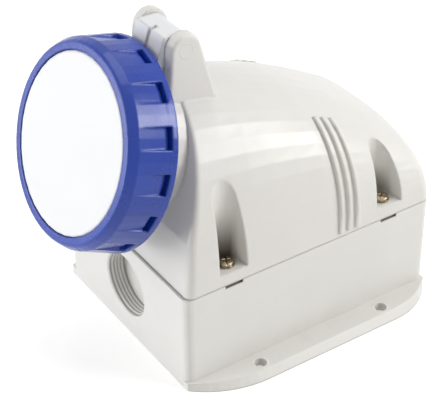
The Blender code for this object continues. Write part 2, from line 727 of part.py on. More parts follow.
def cover(axis, material):
    """Build the hood with its pockets, ribs, hinge ears and the socket neck."""
    hood = hood_solid("cover", material=material)
    inside = hood_solid("cover_inside", wall=COVER_WALL)
    for index, (x, y) in enumerate(SCREW_PLACES):
        column = prism(f"cover_column_{index}", pocket_outline(x, y, POCKET_WALL),
                       COVER_BOTTOM - 2 * OVERRUN, DISC_HEIGHT)
        combine(inside, column)
    for index, side in enumerate((-1, 1)):
        boss = prism(f"cover_insert_boss_{index}",
                     circle(INSERT_BOSS_RADIUS, centre=(side * INSERT_LUG_OUT, 0)),
                     -(PLATE_BACK + INSERT_BOSS_RISE), -PLATE_DEPTH, parent=axis)
        combine(inside, boss)
    combine(hood, inside)
    for index, (x, y) in enumerate(SCREW_PLACES):
        combine(hood, prism(f"cover_pocket_{index}", pocket_outline(x, y, 0), POCKET_FLOOR,
                            DISC_HEIGHT + OVERRUN))
        combine(hood, prism(f"cover_screw_hole_{index}", circle(SCREW_SHANK_RADIUS + FIT_GAP, centre=(x, y)),
                            COVER_BOTTOM - OVERRUN, POCKET_FLOOR + OVERRUN))
    for index in range(RIB_COUNT):
        for side in (-1, 1):
            y = FRONT + BOX_LENGTH * RIB_FIRST_SHARE + index * RIB_PITCH
            combine(hood, rib(f"{index}_{side + 1}", side, y), "UNION")
    add_hinge_ears(hood)
    add_neck(hood, axis)
    return hood


def add_hinge_ears(hood):
    """Join the two ears and the bridge between them to the hood and bore the pin hole."""
    outline = ear_outline()
    steps = [(EAR_INNER, 0), (EAR_OUTER - EAR_EDGE, 0), (EAR_OUTER - EAR_EDGE * EAR_ROUND_SHARE,
                                                         EAR_EDGE * EAR_ROUND_SHARE), (EAR_OUTER, EAR_EDGE)]
    for index, side in enumerate((-1, 1)):
        rings = [[(side * x, y, z) for y, z in (drawn_in(outline, inset) if inset else outline)]
                 for x, inset in steps]
        combine(hood, lofted(f"cover_ear_{index}", rings), "UNION")
    seat = (NECK_BORE + NECK_RADIUS) / 2
    bridge = [axis_place(*place) for place in (
        (BRIDGE_FRONT, BRIDGE_TOP), (BRIDGE_FRONT, seat), (BRIDGE_REAR, seat),
        ((BRIDGE_FRONT + BRIDGE_REAR) / 2, BRIDGE_TOP))]
    reach = (EAR_INNER + EAR_OUTER) / 2
    combine(hood, prism("cover_bridge", bridge, -reach, reach, axis="X", smooth=False), "UNION")
    pin = axis_place(HINGE_DEPTH, HINGE_RISE)
    combine(hood, prism("cover_pin_hole", circle(PIN_RADIUS + FIT_GAP, centre=pin),
                        -EAR_OUTER - OVERRUN, EAR_OUTER - EAR_SKIN, axis="X"))


def add_neck(hood, axis):
    """Join the neck to the plate, then bore it and cut the insert's screw holes."""
    combine(hood, neck(axis), "UNION")
    combine(hood, neck_bore(axis))
    for index, side in enumerate((-1, 1)):
        hole = circle(SMALL_SHANK_RADIUS + FIT_GAP, centre=(side * INSERT_LUG_OUT, 0))
        combine(hood, prism(f"cover_insert_hole_{index}", hole, -(PLATE_BACK + INSERT_BOSS_RISE + OVERRUN),
                            -(PLATE_BACK + INSERT_BOSS_RISE - SMALL_SCREW_DEPTH), parent=axis))


# Screws

def screw(name, head_radius, head_height, shank_radius, length, material, parent=None):
    """Return a cheese-head screw, head up, with the underside of its head in z = 0."""
    edge = head_height / 4
    profile = [(0, -head_height), (head_radius - edge, -head_height), (head_radius, edge - head_height),
               (head_radius, 0), (shank_radius, 0), (shank_radius, length - shank_radius / 2),
               (shank_radius / 2, length), (0, length)]
    made = turned(name, profile, parent, material, SMALL_STEPS)
    slot = rectangle(-head_radius - OVERRUN, head_radius + OVERRUN, -SCREW_SLOT_WIDTH / 2, SCREW_SLOT_WIDTH / 2)
    cutter = prism(f"{name}_slot", slot, head_height - SCREW_SLOT_DEPTH, head_height + OVERRUN, parent=made,
                   smooth=False)
    return combine(made, cutter)


def cover_screws(material):
    """Build the four screws that hold the cover, in the bottom of their pockets."""
    for index, (x, y) in enumerate(SCREW_PLACES, 1):
        made = screw(f"cover_screw_{index}", SCREW_HEAD_RADIUS, SCREW_HEAD_HEIGHT, SCREW_SHANK_RADIUS,
                     SCREW_LENGTH, material)
        made.location = (x, y, POCKET_FLOOR + FIT_GAP)


# The contact insert

def contact_bore(name, sizes, centre, axis):
    """Return the stepped cutter for one contact in the core."""
    mouth, sleeve, _, collar, _, _ = sizes
    profile = [(0, CORE_FACE - OVERRUN), (mouth, CORE_FACE - OVERRUN), (mouth, CORE_FACE + PIN_MOUTH_DEPTH),
               (sleeve + FIT_GAP, CORE_FACE + PIN_MOUTH_DEPTH),
               (sleeve + FIT_GAP, CORE_REAR - COLLAR_THICKNESS), (collar + FIT_GAP, CORE_REAR - COLLAR_THICKNESS),
               (collar + FIT_GAP, CORE_REAR + OVERRUN), (0, CORE_REAR + OVERRUN)]
    made = turned(name, profile, axis, steps=SMALL_STEPS)
    made.location = (*centre, 0)
    return made


def contact_core(axis, material):
    """Build the insulating core: a spigot with the contact bores on a base disc with two lugs."""
    groove_rear = SEAL_GROOVE_FRONT + SEAL_GROOVE_WIDTH
    profile = [(0, CORE_FACE), (CORE_RADIUS - CORE_EDGE, CORE_FACE), (CORE_RADIUS, CORE_FACE + CORE_EDGE),
               (CORE_RADIUS, CORE_BASE_FRONT), (CORE_BASE_RADIUS, CORE_BASE_FRONT),
               (CORE_BASE_RADIUS, SEAL_GROOVE_FRONT),
               (CORE_BASE_RADIUS - SEAL_GROOVE_DEPTH, SEAL_GROOVE_FRONT),
               (CORE_BASE_RADIUS - SEAL_GROOVE_DEPTH, groove_rear), (CORE_BASE_RADIUS, groove_rear),
               (CORE_BASE_RADIUS, CORE_BASE_REAR), (CORE_REAR_RADIUS, CORE_BASE_REAR),
               (CORE_REAR_RADIUS, CORE_REAR), (0, CORE_REAR)]
    core = turned("contact_core", profile, axis, material)
    front = PLATE_BACK + INSERT_BOSS_RISE + FIT_GAP
    for index, side in enumerate((-1, 1)):
        tip = arc((side * INSERT_LUG_OUT, 0), INSERT_LUG_RADIUS, -side * pi / 2, side * pi / 2,
                  SMALL_STEPS // 2)
        outline = tip + [(side * CORE_RADIUS, side * INSERT_LUG_RADIUS),
                         (side * CORE_RADIUS, -side * INSERT_LUG_RADIUS)]
        combine(core, prism(f"core_lug_{index}", outline, -(front + INSERT_LUG_THICKNESS), -front,
                            parent=axis), "UNION")
        hole = circle(SMALL_SHANK_RADIUS + FIT_GAP, centre=(side * INSERT_LUG_OUT, 0))
        combine(core, prism(f"core_lug_hole_{index}", hole, -(front + INSERT_LUG_THICKNESS + OVERRUN),
                            -(front - OVERRUN), parent=axis))
    for name, (sizes, angle) in CONTACTS.items():
        combine(core, contact_bore(f"core_bore_{name}", sizes, polar(PIN_CIRCLE, angle), axis))
    combine(core, contact_bore("core_bore_pilot", PILOT_CONTACT, (0, 0), axis))
    for index, angle in enumerate(PLATE_SCREW_ANGLES):
        hole = circle(SMALL_SHANK_RADIUS + FIT_GAP, centre=polar(PLATE_SCREW_CIRCLE, angle))
        combine(core, prism(f"core_plate_hole_{index}", hole, -(CORE_REAR + OVERRUN),
                            -(CORE_REAR - SMALL_SCREW_DEPTH), parent=axis))
    return core


def terminal_plate(axis, material):
    """Build the rear plate that holds the contacts in the core."""
    front = CORE_REAR + FIT_GAP
    plate = turned("terminal_plate", [(0, front), (CORE_REAR_RADIUS, front),
                                      (CORE_REAR_RADIUS, front + PLATE_THICKNESS),
                                      (0, front + PLATE_THICKNESS)], axis, material)
    places = [(name, sizes, polar(PIN_CIRCLE, angle)) for name, (sizes, angle) in CONTACTS.items()]
    for name, sizes, centre in places + [("pilot", PILOT_CONTACT, (0, 0))]:
        hole = circle(sizes[4] + FIT_GAP, centre=centre)
        combine(plate, prism(f"plate_hole_{name}", hole, -(front + PLATE_THICKNESS + OVERRUN),
                             OVERRUN - front, parent=axis))
    for index, angle in enumerate(PLATE_SCREW_ANGLES):
        hole = circle(SMALL_SHANK_RADIUS + FIT_GAP, centre=polar(PLATE_SCREW_CIRCLE, angle))
        combine(plate, prism(f"plate_screw_hole_{index}", hole, -(front + PLATE_THICKNESS + OVERRUN),
                             OVERRUN - front, parent=axis))
    return plate


def contact(name, sizes, centre, outward, axis, material, screw_material):
    """Build one sleeve contact with its tubular terminal and clamp screw."""
    _, sleeve, bore, collar, tail, wire = sizes
    front = CORE_FACE + PIN_MOUTH_DEPTH + FIT_GAP
    collar_front = CORE_REAR - COLLAR_THICKNESS + FIT_GAP
    bottom = CORE_REAR - COLLAR_THICKNESS
    profile = [(bore, front), (sleeve, front), (sleeve, collar_front), (collar, collar_front),
               (collar, CORE_REAR), (tail, CORE_REAR), (tail, TAIL_END), (wire, TAIL_END),
               (wire, TAIL_END - WIRE_BORE_DEPTH), (0, TAIL_END - WIRE_BORE_DEPTH), (0, bottom), (bore, bottom)]
    made = turned(f"contact_{name}", profile, axis, material, SMALL_STEPS)
    made.location = (*centre, 0)
    depth = TAIL_END - CLAMP_SCREW_FROM_END
    turn = (0, pi / 2, outward)
    hole = prism(f"contact_{name}_screw_hole", circle(CLAMP_SCREW_RADIUS + FIT_GAP), 0, tail + OVERRUN,
                 parent=made)
    hole.location = (0, 0, -depth)
    hole.rotation_euler = turn
    combine(made, hole)
    clamp = prism(f"clamp_screw_{name}", circle(CLAMP_SCREW_RADIUS), wire / 2, tail + CLAMP_SCREW_RISE,
                  parent=axis, material=screw_material)
    clamp.location = (*centre, -depth)
    clamp.rotation_euler = turn
    slot = prism(f"clamp_screw_{name}_slot", rectangle(-OVERRUN, OVERRUN, -SCREW_SLOT_WIDTH / 2,
                                                       SCREW_SLOT_WIDTH / 2),
                 tail + CLAMP_SCREW_RISE - SCREW_SLOT_DEPTH, tail + CLAMP_SCREW_RISE + OVERRUN,
                 parent=clamp, smooth=False)
    combine(clamp, slot)


def insert_seal(axis, material):
    """Build the ring that seals the core's base in the neck's bore."""
    inner = CORE_BASE_RADIUS - SEAL_GROOVE_DEPTH + FIT_GAP
    outer = NECK_BORE - FIT_GAP
    front = SEAL_GROOVE_FRONT + FIT_GAP
    rear = SEAL_GROOVE_FRONT + SEAL_GROOVE_WIDTH - FIT_GAP
    turned("insert_seal", [(inner, front), (outer, front), (outer, rear), (inner, rear)], axis, material)


def insert_screws(axis, material):
    """Build the two screws of the insert and the three of its rear plate."""
    seat = PLATE_BACK + INSERT_BOSS_RISE + FIT_GAP + INSERT_LUG_THICKNESS
    places = [(f"insert_screw_{k}", (side * INSERT_LUG_OUT, 0), seat) for k, side in ((1, -1), (2, 1))]
    places += [(f"plate_screw_{k}", polar(PLATE_SCREW_CIRCLE, angle), CORE_REAR + FIT_GAP + PLATE_THICKNESS)
               for k, angle in enumerate(PLATE_SCREW_ANGLES, 1)]
    for name, centre, depth in places:
        length = INSERT_LUG_THICKNESS + SMALL_SCREW_DEPTH - 3 * FIT_GAP
        made = screw(name, SMALL_HEAD_RADIUS, SMALL_HEAD_HEIGHT, SMALL_SHANK_RADIUS, length, material, axis)
        made.location = (*centre, -(depth + FIT_GAP))
        made.rotation_euler = (pi, 0, 0)


# The lid

def hinge_pin(material):
    """Build the pin, pushed in from the left through the knuckle into the blind right ear."""
    y, z = axis_place(HINGE_DEPTH, HINGE_RISE)
    pin = prism("hinge_pin", circle(PIN_RADIUS), FIT_GAP - EAR_OUTER, EAR_OUTER - EAR_SKIN - FIT_GAP, axis="X",
                material=material)
    pin.location = (0, y, z)


def arm_outline():
    """Return the side view of the lid's arm as (rise, height) in the tilted frame, knuckle included."""
    pin = Vector((HINGE_RISE, -HINGE_DEPTH))
    level = Vector((sin(SOCKET_TILT), -cos(SOCKET_TILT)))
    upward = Vector((cos(SOCKET_TILT), sin(SOCKET_TILT)))
    top = pin + upward * KNUCKLE_RADIUS
    heading = atan2(upward.y, upward.x)
    turn = heading - pi
    knuckle = [tuple(pin + Vector((cos(a), sin(a))) * KNUCKLE_RADIUS)
               for a in [heading + (turn - heading) * k / SMALL_STEPS for k in range(SMALL_STEPS + 1)]]
    front_reach = (ARM_FRONT - HINGE_DEPTH) / -level.y
    corner = top - level * abs(front_reach + sin(SOCKET_TILT) * KNUCKLE_RADIUS / cos(SOCKET_TILT))
    inner = SKIRT_RADIUS - TONGUE_THICKNESS
    back = -(ARM_FRONT + ARM_THICKNESS)
    return [(inner, -ARM_FRONT), (SKIRT_RADIUS, -ARM_FRONT), (corner.x, -ARM_FRONT)] + knuckle \
        + [(inner + ARM_THICKNESS * 2, back), (inner, back)]


def lid_cap(frame, material):
    """Build the white cap with its captive rim, seal skirt, arm and hinge knuckle."""
    rim_rear = RIM_FRONT + RIM_THICKNESS
    back = DISC_RECESS + LID_PLATE
    inner = SKIRT_RADIUS - SKIRT_WALL
    profile = [(0, DISC_RECESS), (DISC_RADIUS - DISC_EDGE, DISC_RECESS), (DISC_RADIUS, DISC_RECESS + DISC_EDGE),
               (DISC_RADIUS, RIM_FRONT), (RIM_RADIUS, RIM_FRONT), (RIM_RADIUS, rim_rear),
               (SKIRT_RADIUS, rim_rear), (SKIRT_RADIUS, SKIRT_END), (inner, SKIRT_END), (inner, back), (0, back)]
    cap = turned("lid_cap", profile, frame, material)
    tongue = rectangle(-ARM_HALF_WIDTH, ARM_HALF_WIDTH, SKIRT_RADIUS - TONGUE_THICKNESS, SKIRT_RADIUS)
    combine(cap, prism("lid_tongue", tongue, -(ARM_FRONT + ARM_THICKNESS / 2), -(SKIRT_END - SKIRT_WALL),
                       parent=frame, smooth=False), "UNION")
    combine(cap, prism("lid_arm", arm_outline(), -ARM_HALF_WIDTH, ARM_HALF_WIDTH, axis="X", parent=frame),
            "UNION")
    slot = rectangle(-ARM_SLOT_WIDTH / 2, ARM_SLOT_WIDTH / 2, ARM_SLOT_FOOT, HINGE_RISE + KNUCKLE_RADIUS + OVERRUN)
    combine(cap, prism("lid_arm_slot", slot, -(ARM_FRONT + ARM_SLOT_DEPTH), -(ARM_FRONT - OVERRUN),
                       parent=frame, smooth=False))
    hole = circle(PIN_RADIUS + FIT_GAP, centre=(HINGE_RISE, -HINGE_DEPTH))
    combine(cap, prism("lid_pin_hole", hole, -ARM_HALF_WIDTH - OVERRUN, ARM_HALF_WIDTH + OVERRUN, axis="X",
                       parent=frame))
    return cap


def lid_seal(frame, material):
    """Build the rubber ring in the cap that meets the neck's mouth."""
    outer = (SKIRT_RADIUS - SKIRT_WALL) * SEAL_OUTER_SHARE
    inner = NECK_BORE - FIT_GAP
    front = DISC_RECESS + LID_PLATE + FIT_GAP
    rear = NECK_MOUTH - FIT_GAP
    turned("lid_seal", [(inner, front), (outer, front), (outer, rear), (inner, rear)], frame, material)


def ring_section(window, cam):
    """Return the ring's section, blended from land to window (0 to 1) and from bore to cam (0 to 1)."""
    opening = DISC_RADIUS + FIT_GAP
    groove = RIM_RADIUS + FIT_GAP
    groove_rear = RIM_FRONT + RIM_THICKNESS + FIT_GAP
    length = RING_LENGTH - RING_EDGE / 2
    growth = (RING_REAR_RADIUS - RING_CONE_RADIUS) / (length - RING_CONE_DEPTH)
    slot_land = RING_CONE_RADIUS + growth * (SLOT_FRONT - RING_CONE_DEPTH)
    end_land = RING_CONE_RADIUS + growth * (WINDOW_END - RING_CONE_DEPTH)
    floor = WINDOW_FALL * window
    slot = (WINDOW_FALL + SLOT_FALL) * window
    reach = RING_BORE + (CAM_REACH - RING_BORE) * cam
    cam_rear = CAM_FRONT + CAM_THICKNESS
    inset = CAM_THICKNESS / 3 * (1 - cam)
    return [(opening, 0), (RING_FRONT_RADIUS, 0), (RING_FRONT_RADIUS + RING_EDGE, RING_EDGE),
            (RING_CONE_RADIUS, RING_CONE_DEPTH), (slot_land - floor, SLOT_FRONT),
            (slot_land - slot, SLOT_FRONT + SLOT_EDGE), (end_land - slot, WINDOW_END - SLOT_EDGE),
            (end_land, WINDOW_END),
            (RING_REAR_RADIUS, length), (RING_REAR_RADIUS - RING_EDGE / 2, RING_LENGTH),
            (RING_BORE + RING_REAR_FLARE, RING_LENGTH), (RING_BORE, RING_LENGTH - RING_REAR_FLARE),
            (RING_BORE, cam_rear), (reach, cam_rear - inset), (reach, CAM_FRONT + inset),
            (RING_BORE, CAM_FRONT), (RING_BORE, groove_rear), (groove, groove_rear), (groove, RING_LIP),
            (opening, RING_LIP)]


def locking_ring(frame, material):
    """Build the bayonet ring with its windowed grip and inner cams."""
    pitch = 2 * pi / GRIP_COUNT
    half = pitch * WINDOW_SHARE / 2
    flat = half - WINDOW_DRAFT
    windows = [GRIP_FIRST_ANGLE + pitch * k for k in range(GRIP_COUNT)]
    cams = [middle + RELEASE_ANGLE for middle in LUG_MIDDLES]
    ends = (-CAM_HALF_ANGLE - CAM_RAMP, -CAM_HALF_ANGLE, CAM_HALF_ANGLE, CAM_HALF_ANGLE + CAM_RAMP)
    angles = in_order([w + off for w in windows for off in (-half, -flat, 0, flat, half, pitch / 2)]
                      + [c + off for c in cams for off in ends])
    return closed_band("locking_ring", [(a, ring_section(near_share(a, windows, flat, WINDOW_DRAFT),
                                                         near_share(a, cams, CAM_HALF_ANGLE, CAM_RAMP)))
                                        for a in angles], frame, material)


def bayonet_collar(axis, material):
    """Build the collar on the neck's mouth, with the three lugs that the ring turns behind."""
    ends = (-LUG_HALF_ANGLE - LUG_RAMP, -LUG_HALF_ANGLE, LUG_HALF_ANGLE, LUG_HALF_ANGLE + LUG_RAMP)
    angles = in_order([2 * pi * k / ROUND_STEPS for k in range(ROUND_STEPS)]
                      + [middle + off for middle in LUG_MIDDLES for off in ends])
    stations = []
    for angle in angles:
        outer = COLLAR_OUTER + (LUG_REACH - COLLAR_OUTER) * near_share(angle, LUG_MIDDLES, LUG_HALF_ANGLE,
                                                                       LUG_RAMP)
        stations.append((angle, [(NECK_RADIUS + FIT_GAP, LUG_FRONT), (outer, LUG_FRONT), (outer, LUG_REAR),
                                 (NECK_RADIUS + FIT_GAP, LUG_REAR)]))
    return closed_band("bayonet_collar", stations, axis, material)


def build():
    """Build the whole socket in its rest position: lid closed, ring released."""
    clear_scene()
    housing_grey = finish("housing_grey", (0.72, 0.71, 0.67), 0.42)
    box_grey = finish("box_grey", (0.74, 0.73, 0.70), 0.42)
    rubber = finish("seal_rubber", (0.03, 0.03, 0.03), 0.8)
    brass = finish("screw_brass", (0.62, 0.50, 0.28), 0.35, 1.0)
    core_blue = finish("core_blue", (0.03, 0.08, 0.40), 0.45)
    plate_black = finish("terminal_black", (0.04, 0.04, 0.05), 0.5)
    contact_metal = finish("contact_metal", (0.66, 0.63, 0.56), 0.3, 1.0)
    steel = finish("pin_steel", (0.6, 0.6, 0.6), 0.3, 1.0)
    cap_white = finish("cap_white", (0.86, 0.87, 0.89), 0.38)
    ring_blue = finish("ring_blue", (0.02, 0.05, 0.50), 0.36)

    axis = axis_frame()
    back_box(box_grey)
    box_seal(rubber)
    cover(axis, housing_grey)
    bayonet_collar(axis, core_blue)
    cover_screws(brass)
    contact_core(axis, core_blue)
    insert_seal(axis, rubber)
    terminal_plate(axis, plate_black)
    for name, (sizes, angle) in CONTACTS.items():
        contact(name, sizes, polar(PIN_CIRCLE, angle), angle, axis, contact_metal, brass)
    contact("pilot", PILOT_CONTACT, (0, 0), radians(90), axis, contact_metal, brass)
    insert_screws(axis, steel)
    hinge_pin(steel)

    y, z = axis_place(HINGE_DEPTH, HINGE_RISE)
    hinge = empty("lid_hinge", location=(0, y, z), rotation=(pi / 2 - SOCKET_TILT, 0, 0))
    lid_frame = empty("lid_frame", hinge, location=(0, -HINGE_RISE, HINGE_DEPTH))
    ring_frame = empty("ring_frame", hinge, location=(0, -HINGE_RISE, HINGE_DEPTH))
    lid_cap(lid_frame, cap_white)
    lid_seal(lid_frame, rubber)
    locking_ring(ring_frame, ring_blue)
    bpy.context.view_layer.update()


build()
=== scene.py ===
"""Looks of an industrial wall socket with a hinged lid and a bayonet locking ring.

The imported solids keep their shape. This script dresses them with moulded plastic, rubber and
metal finishes, adds the thread of the cable entry and the heads of the cover's screws, and
sets up the studio in which the socket lies on its back face.
"""

import logging
import math
from dataclasses import dataclass, field
from enum import Enum
from typing import Any, Optional, Sequence, Union

import bmesh
import bpy
from mathutils import Matrix, Vector


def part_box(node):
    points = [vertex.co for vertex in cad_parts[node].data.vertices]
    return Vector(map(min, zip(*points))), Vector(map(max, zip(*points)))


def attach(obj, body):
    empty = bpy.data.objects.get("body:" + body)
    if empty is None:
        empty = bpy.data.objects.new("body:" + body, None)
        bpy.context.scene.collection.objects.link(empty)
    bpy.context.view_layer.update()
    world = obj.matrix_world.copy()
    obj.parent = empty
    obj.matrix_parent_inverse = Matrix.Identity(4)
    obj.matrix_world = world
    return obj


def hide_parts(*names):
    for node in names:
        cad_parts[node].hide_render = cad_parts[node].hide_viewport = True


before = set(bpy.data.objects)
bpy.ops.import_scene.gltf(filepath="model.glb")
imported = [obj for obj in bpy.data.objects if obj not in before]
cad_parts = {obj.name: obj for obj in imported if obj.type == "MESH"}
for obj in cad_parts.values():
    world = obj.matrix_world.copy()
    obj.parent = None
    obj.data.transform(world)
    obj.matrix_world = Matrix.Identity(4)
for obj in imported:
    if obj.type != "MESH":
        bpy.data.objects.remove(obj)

LOG = logging.getLogger("wall_socket")
Number = Union[int, float]
Colour = tuple[float, float, float]
Point = tuple[float, float, float]
Span = tuple[float, float]
Slope = tuple[float, float, float, float]

SIDES: tuple[int, int] = (-1, 1)
ENTRY_CENTRE: Point = (0.0, -0.085, 0.0327)
ENTRY_RADIUS: float = 0.0195
WALL_HOLE_ACROSS: float = 0.0727
WALL_HOLE_ROWS: Span = (-0.0413, 0.0455)
COVER_SCREWS: tuple[str, ...] = ("cover_screw_1", "cover_screw_2", "cover_screw_3", "cover_screw_4")

MIX_SHARE, MIX_FIRST, MIX_SECOND, MIX_COLOUR = 0, 6, 7, 2


class Maths(Enum):
    """The arithmetic that a shader value understands."""

    ADD = "ADD"
    SUBTRACT = "SUBTRACT"
    MULTIPLY = "MULTIPLY"
    POWER = "POWER"
    LARGER = "MAXIMUM"


class Shade:
    """A socket of a shader tree that can be used in plain arithmetic."""

    def __init__(self, tree: "ShaderTree", socket: bpy.types.NodeSocket) -> None:
        """Keep the tree and the socket."""
        self.tree = tree
        self.socket = socket

    def _work(self, kind: Maths, first: Any, second: Any) -> "Shade":
        """Return what a Math node of this kind makes of two values."""
        return self.tree.node("ShaderNodeMath", {"operation": kind.value}, {0: first, 1: second})

    def __add__(self, other: Any) -> "Shade":
        """Return self + other."""
        return self._work(Maths.ADD, self, other)

    def __radd__(self, other: Any) -> "Shade":
        """Return other + self."""
        return self._work(Maths.ADD, other, self)

    def __sub__(self, other: Any) -> "Shade":
        """Return self - other."""
        return self._work(Maths.SUBTRACT, self, other)

    def __rsub__(self, other: Any) -> "Shade":
        """Return other - self."""
        return self._work(Maths.SUBTRACT, other, self)

    def __mul__(self, other: Any) -> "Shade":
        """Return self * other."""
        return self._work(Maths.MULTIPLY, self, other)

    def __rmul__(self, other: Any) -> "Shade":
        """Return other * self."""
        return self._work(Maths.MULTIPLY, other, self)

    def __pow__(self, other: Any) -> "Shade":
        """Return self to the power of other."""
        return self._work(Maths.POWER, self, other)

    def __rpow__(self, other: Any) -> "Shade":
        """Return other to the power of self."""
        return self._work(Maths.POWER, other, self)

    def at_least(self, other: Any) -> "Shade":
        """Return the larger of self and other."""
        return self._work(Maths.LARGER, self, other)

    def spread(self, low: Number, high: Number, start: Number = 0.0, end: Number = 1.0) -> "Shade":
        """Map a stretch of the value smoothly onto another stretch.

        Args:
            low: The value that gives start.
            high: The value that gives end.
            start: The result at low and below.
            end: The result at high and above.

        Returns:
            The mapped value.
        """
        return self.tree.node("ShaderNodeMapRange", {"interpolation_type": "SMOOTHSTEP", "clamp": True},
                              {"Value": self, "From Min": low, "From Max": high, "To Min": start,
                               "To Max": end})


class ShaderTree:
    """The node tree of a material or of the world, and the few ways in which this script adds to it."""

    def __init__(self, owner: Union[bpy.types.Material, bpy.types.World], shader: str) -> None:
        """Open the tree.

        Args:
            owner: The new material or world.
            shader: The name of the shader node that the tree starts with.
        """
        owner.use_nodes = True
        self.nodes = owner.node_tree.nodes
        self.links = owner.node_tree.links
        self.shader = self.nodes[shader]

    def put(self, socket: bpy.types.NodeSocket, value: Any) -> None:
        """Set a socket to a plain value or link it to a shade.

        Args:
            socket: The input to set.
            value: A number, a colour, a vector or a Shade.
        """
        if isinstance(value, Shade):
            self.links.new(value.socket, socket)
        elif isinstance(value, (tuple, list)) and len(value) == 3 and socket.type == "RGBA":
            socket.default_value = (*value, 1.0)
        else:
            socket.default_value = value

    def node(self, kind: str, settings: Optional[dict[str, Any]] = None,
             values: Optional[dict[Any, Any]] = None, output: Union[int, str] = 0) -> Shade:
        """Add a node.

        Args:
            kind: The node's type name.
            settings: Properties of the node, set first.
            values: Values or shades by input name or index.
            output: The output to return, by name or index.

        Returns:
            The chosen output.
        """
        made = self.nodes.new(kind)
        for key, value in (settings or {}).items():
            setattr(made, key, value)
        for key, value in (values or {}).items():
            self.put(made.inputs[key], value)
        return Shade(self, made.outputs[output])

    def place(self) -> Shade:
        """Return the object's own coordinates, in metres in the row frame."""
        return self.node("ShaderNodeTexCoord", output="Object")

    def axes(self, vector: Shade) -> tuple[Shade, Shade, Shade]:
        """Take a vector apart.

        Args:
            vector: The vector.

        Returns:
            Its x, y and z.
        """
        split = self.node("ShaderNodeSeparateXYZ", values={0: vector})
        outputs = split.socket.node.outputs
        return Shade(self, outputs[0]), Shade(self, outputs[1]), Shade(self, outputs[2])

    def noise(self, vector: Shade, scale: Number, detail: Number, roughness: Number) -> Shade:
        """Return a noise of about 0 to 1 with this many features for each metre and octaves of detail."""
        return self.node("ShaderNodeTexNoise", {"noise_dimensions": "3D"},
                         {"Vector": vector, "Scale": scale, "Detail": detail, "Roughness": roughness})

    def blend(self, share: Any, first: Any, second: Any) -> Shade:
        """Return a mix of two colours, where a share of 0 gives the first and 1 the second."""
        return self.node("ShaderNodeMix", {"data_type": "RGBA"},
                         {MIX_SHARE: share, MIX_FIRST: first, MIX_SECOND: second}, MIX_COLOUR)

    def relief(self, height: Shade, depth: Number, below: Optional[Shade] = None) -> Shade:
        """Turn a height into a normal.

        Args:
            height: The relief, 0 to 1.
            depth: Metres from its lowest to its highest point.
            below: A normal on which the relief lies.

        Returns:
            The bumped normal.
        """
        values: dict[Any, Any] = {"Height": height, "Distance": depth, "Strength": 1.0}
        if below is not None:
            values["Normal"] = below
        return self.node("ShaderNodeBump", values=values)

    def rounded(self, radius: Number, samples: int = 8) -> Shade:
        """Return the normal with the corners between faces rounded over a radius in metres."""
        return self.node("ShaderNodeBevel", {"samples": samples}, {"Radius": radius})

    def looked_at(self) -> Shade:
        """Tell the rays that see a surface from those that only light it.

        Returns:
            1 for rays of the camera, of mirrors and of glass, and 0 for the rest.
        """
        seen = self.node("ShaderNodeLightPath", output="Is Camera Ray")
        outputs = seen.socket.node.outputs
        for name in ("Is Glossy Ray", "Is Transmission Ray"):
            seen = seen.at_least(Shade(self, outputs[name]))
        return seen

    def feed(self, **sockets: Any) -> None:
        """Set the shader's sockets, whose names are given with underscores for spaces."""
        for name, value in sockets.items():
            self.put(self.shader.inputs[name.replace("_", " ")], value)


class MaterialTree(ShaderTree):
    """The tree of a new material with a Principled shader."""

    def __init__(self, name: str, colour: Colour) -> None:
        """Make the material.

        Args:
            name: The material's name.
            colour: Its plain colour, where no shader is drawn.
        """
        self.material = bpy.data.materials.new(name)
        super().__init__(self.material, "Principled BSDF")
        self.material.diffuse_color = (*colour, 1.0)


@dataclass(frozen=True)
class RoundMark:
    """A faint round edge in a flat moulded face, such as the rim of a hole, which may carry a painted
    highlight on its crest.
    """

    axes: tuple[int, int]
    centre: Span
    radius: float
    width: float
    height: float
    # How much painted highlight lies on the crest, 0 for none.
    painted_highlight: float = 0.0

    def share(self, parts: Sequence[Shade]) -> Shade:
        """Return where the mark lies, 1 on its crest and 0 away from it.

        Args:
            parts: The x, y and z of the place.

        Returns:
            The mark's share.
        """
        across = parts[self.axes[0]] - self.centre[0]
        along = parts[self.axes[1]] - self.centre[1]
        distance = (across * across + along * along) ** 0.5
        return distance.spread(self.radius - self.width, self.radius) \
            * distance.spread(self.radius, self.radius + self.width, 1.0, 0.0)


class PaintedShade:
    """Painted shade of one kind: a dark colour laid on the places of a piece where shade falls."""

    def share(self, parts: Sequence[Shade], rough: Shade) -> Shade:
        """Return how strong the painted shade is at the x, y and z of a place, where rough breaks it up."""
        raise NotImplementedError


@dataclass(frozen=True)
class ShadePatch(PaintedShade):
    """Painted shade round a place, where shade falls in a pocket, thinning out sideways and upwards."""

    centre: Point
    rise: float
    strength: float
    radius: float = 0.0120
    full_share: float = 0.55
    foot_share: float = 0.15
    ragged: float = 0.002

    def share(self, parts: Sequence[Shade], rough: Shade) -> Shade:
        """Return how strong the painted shade is.

        Args:
            parts: The x, y and z of the place.
            rough: A noise that breaks up its edge.

        Returns:
            The painted shade's share.
        """
        across = parts[0] - self.centre[0]
        along = parts[1] - self.centre[1]
        up = parts[2] - self.centre[2]
        reach = (across * across + along * along) ** 0.5 + rough * self.ragged
        return reach.spread(self.radius * self.full_share, self.radius, 1.0, 0.0) \
            * up.spread(self.rise * self.foot_share, self.rise, 1.0, 0.0) * self.strength


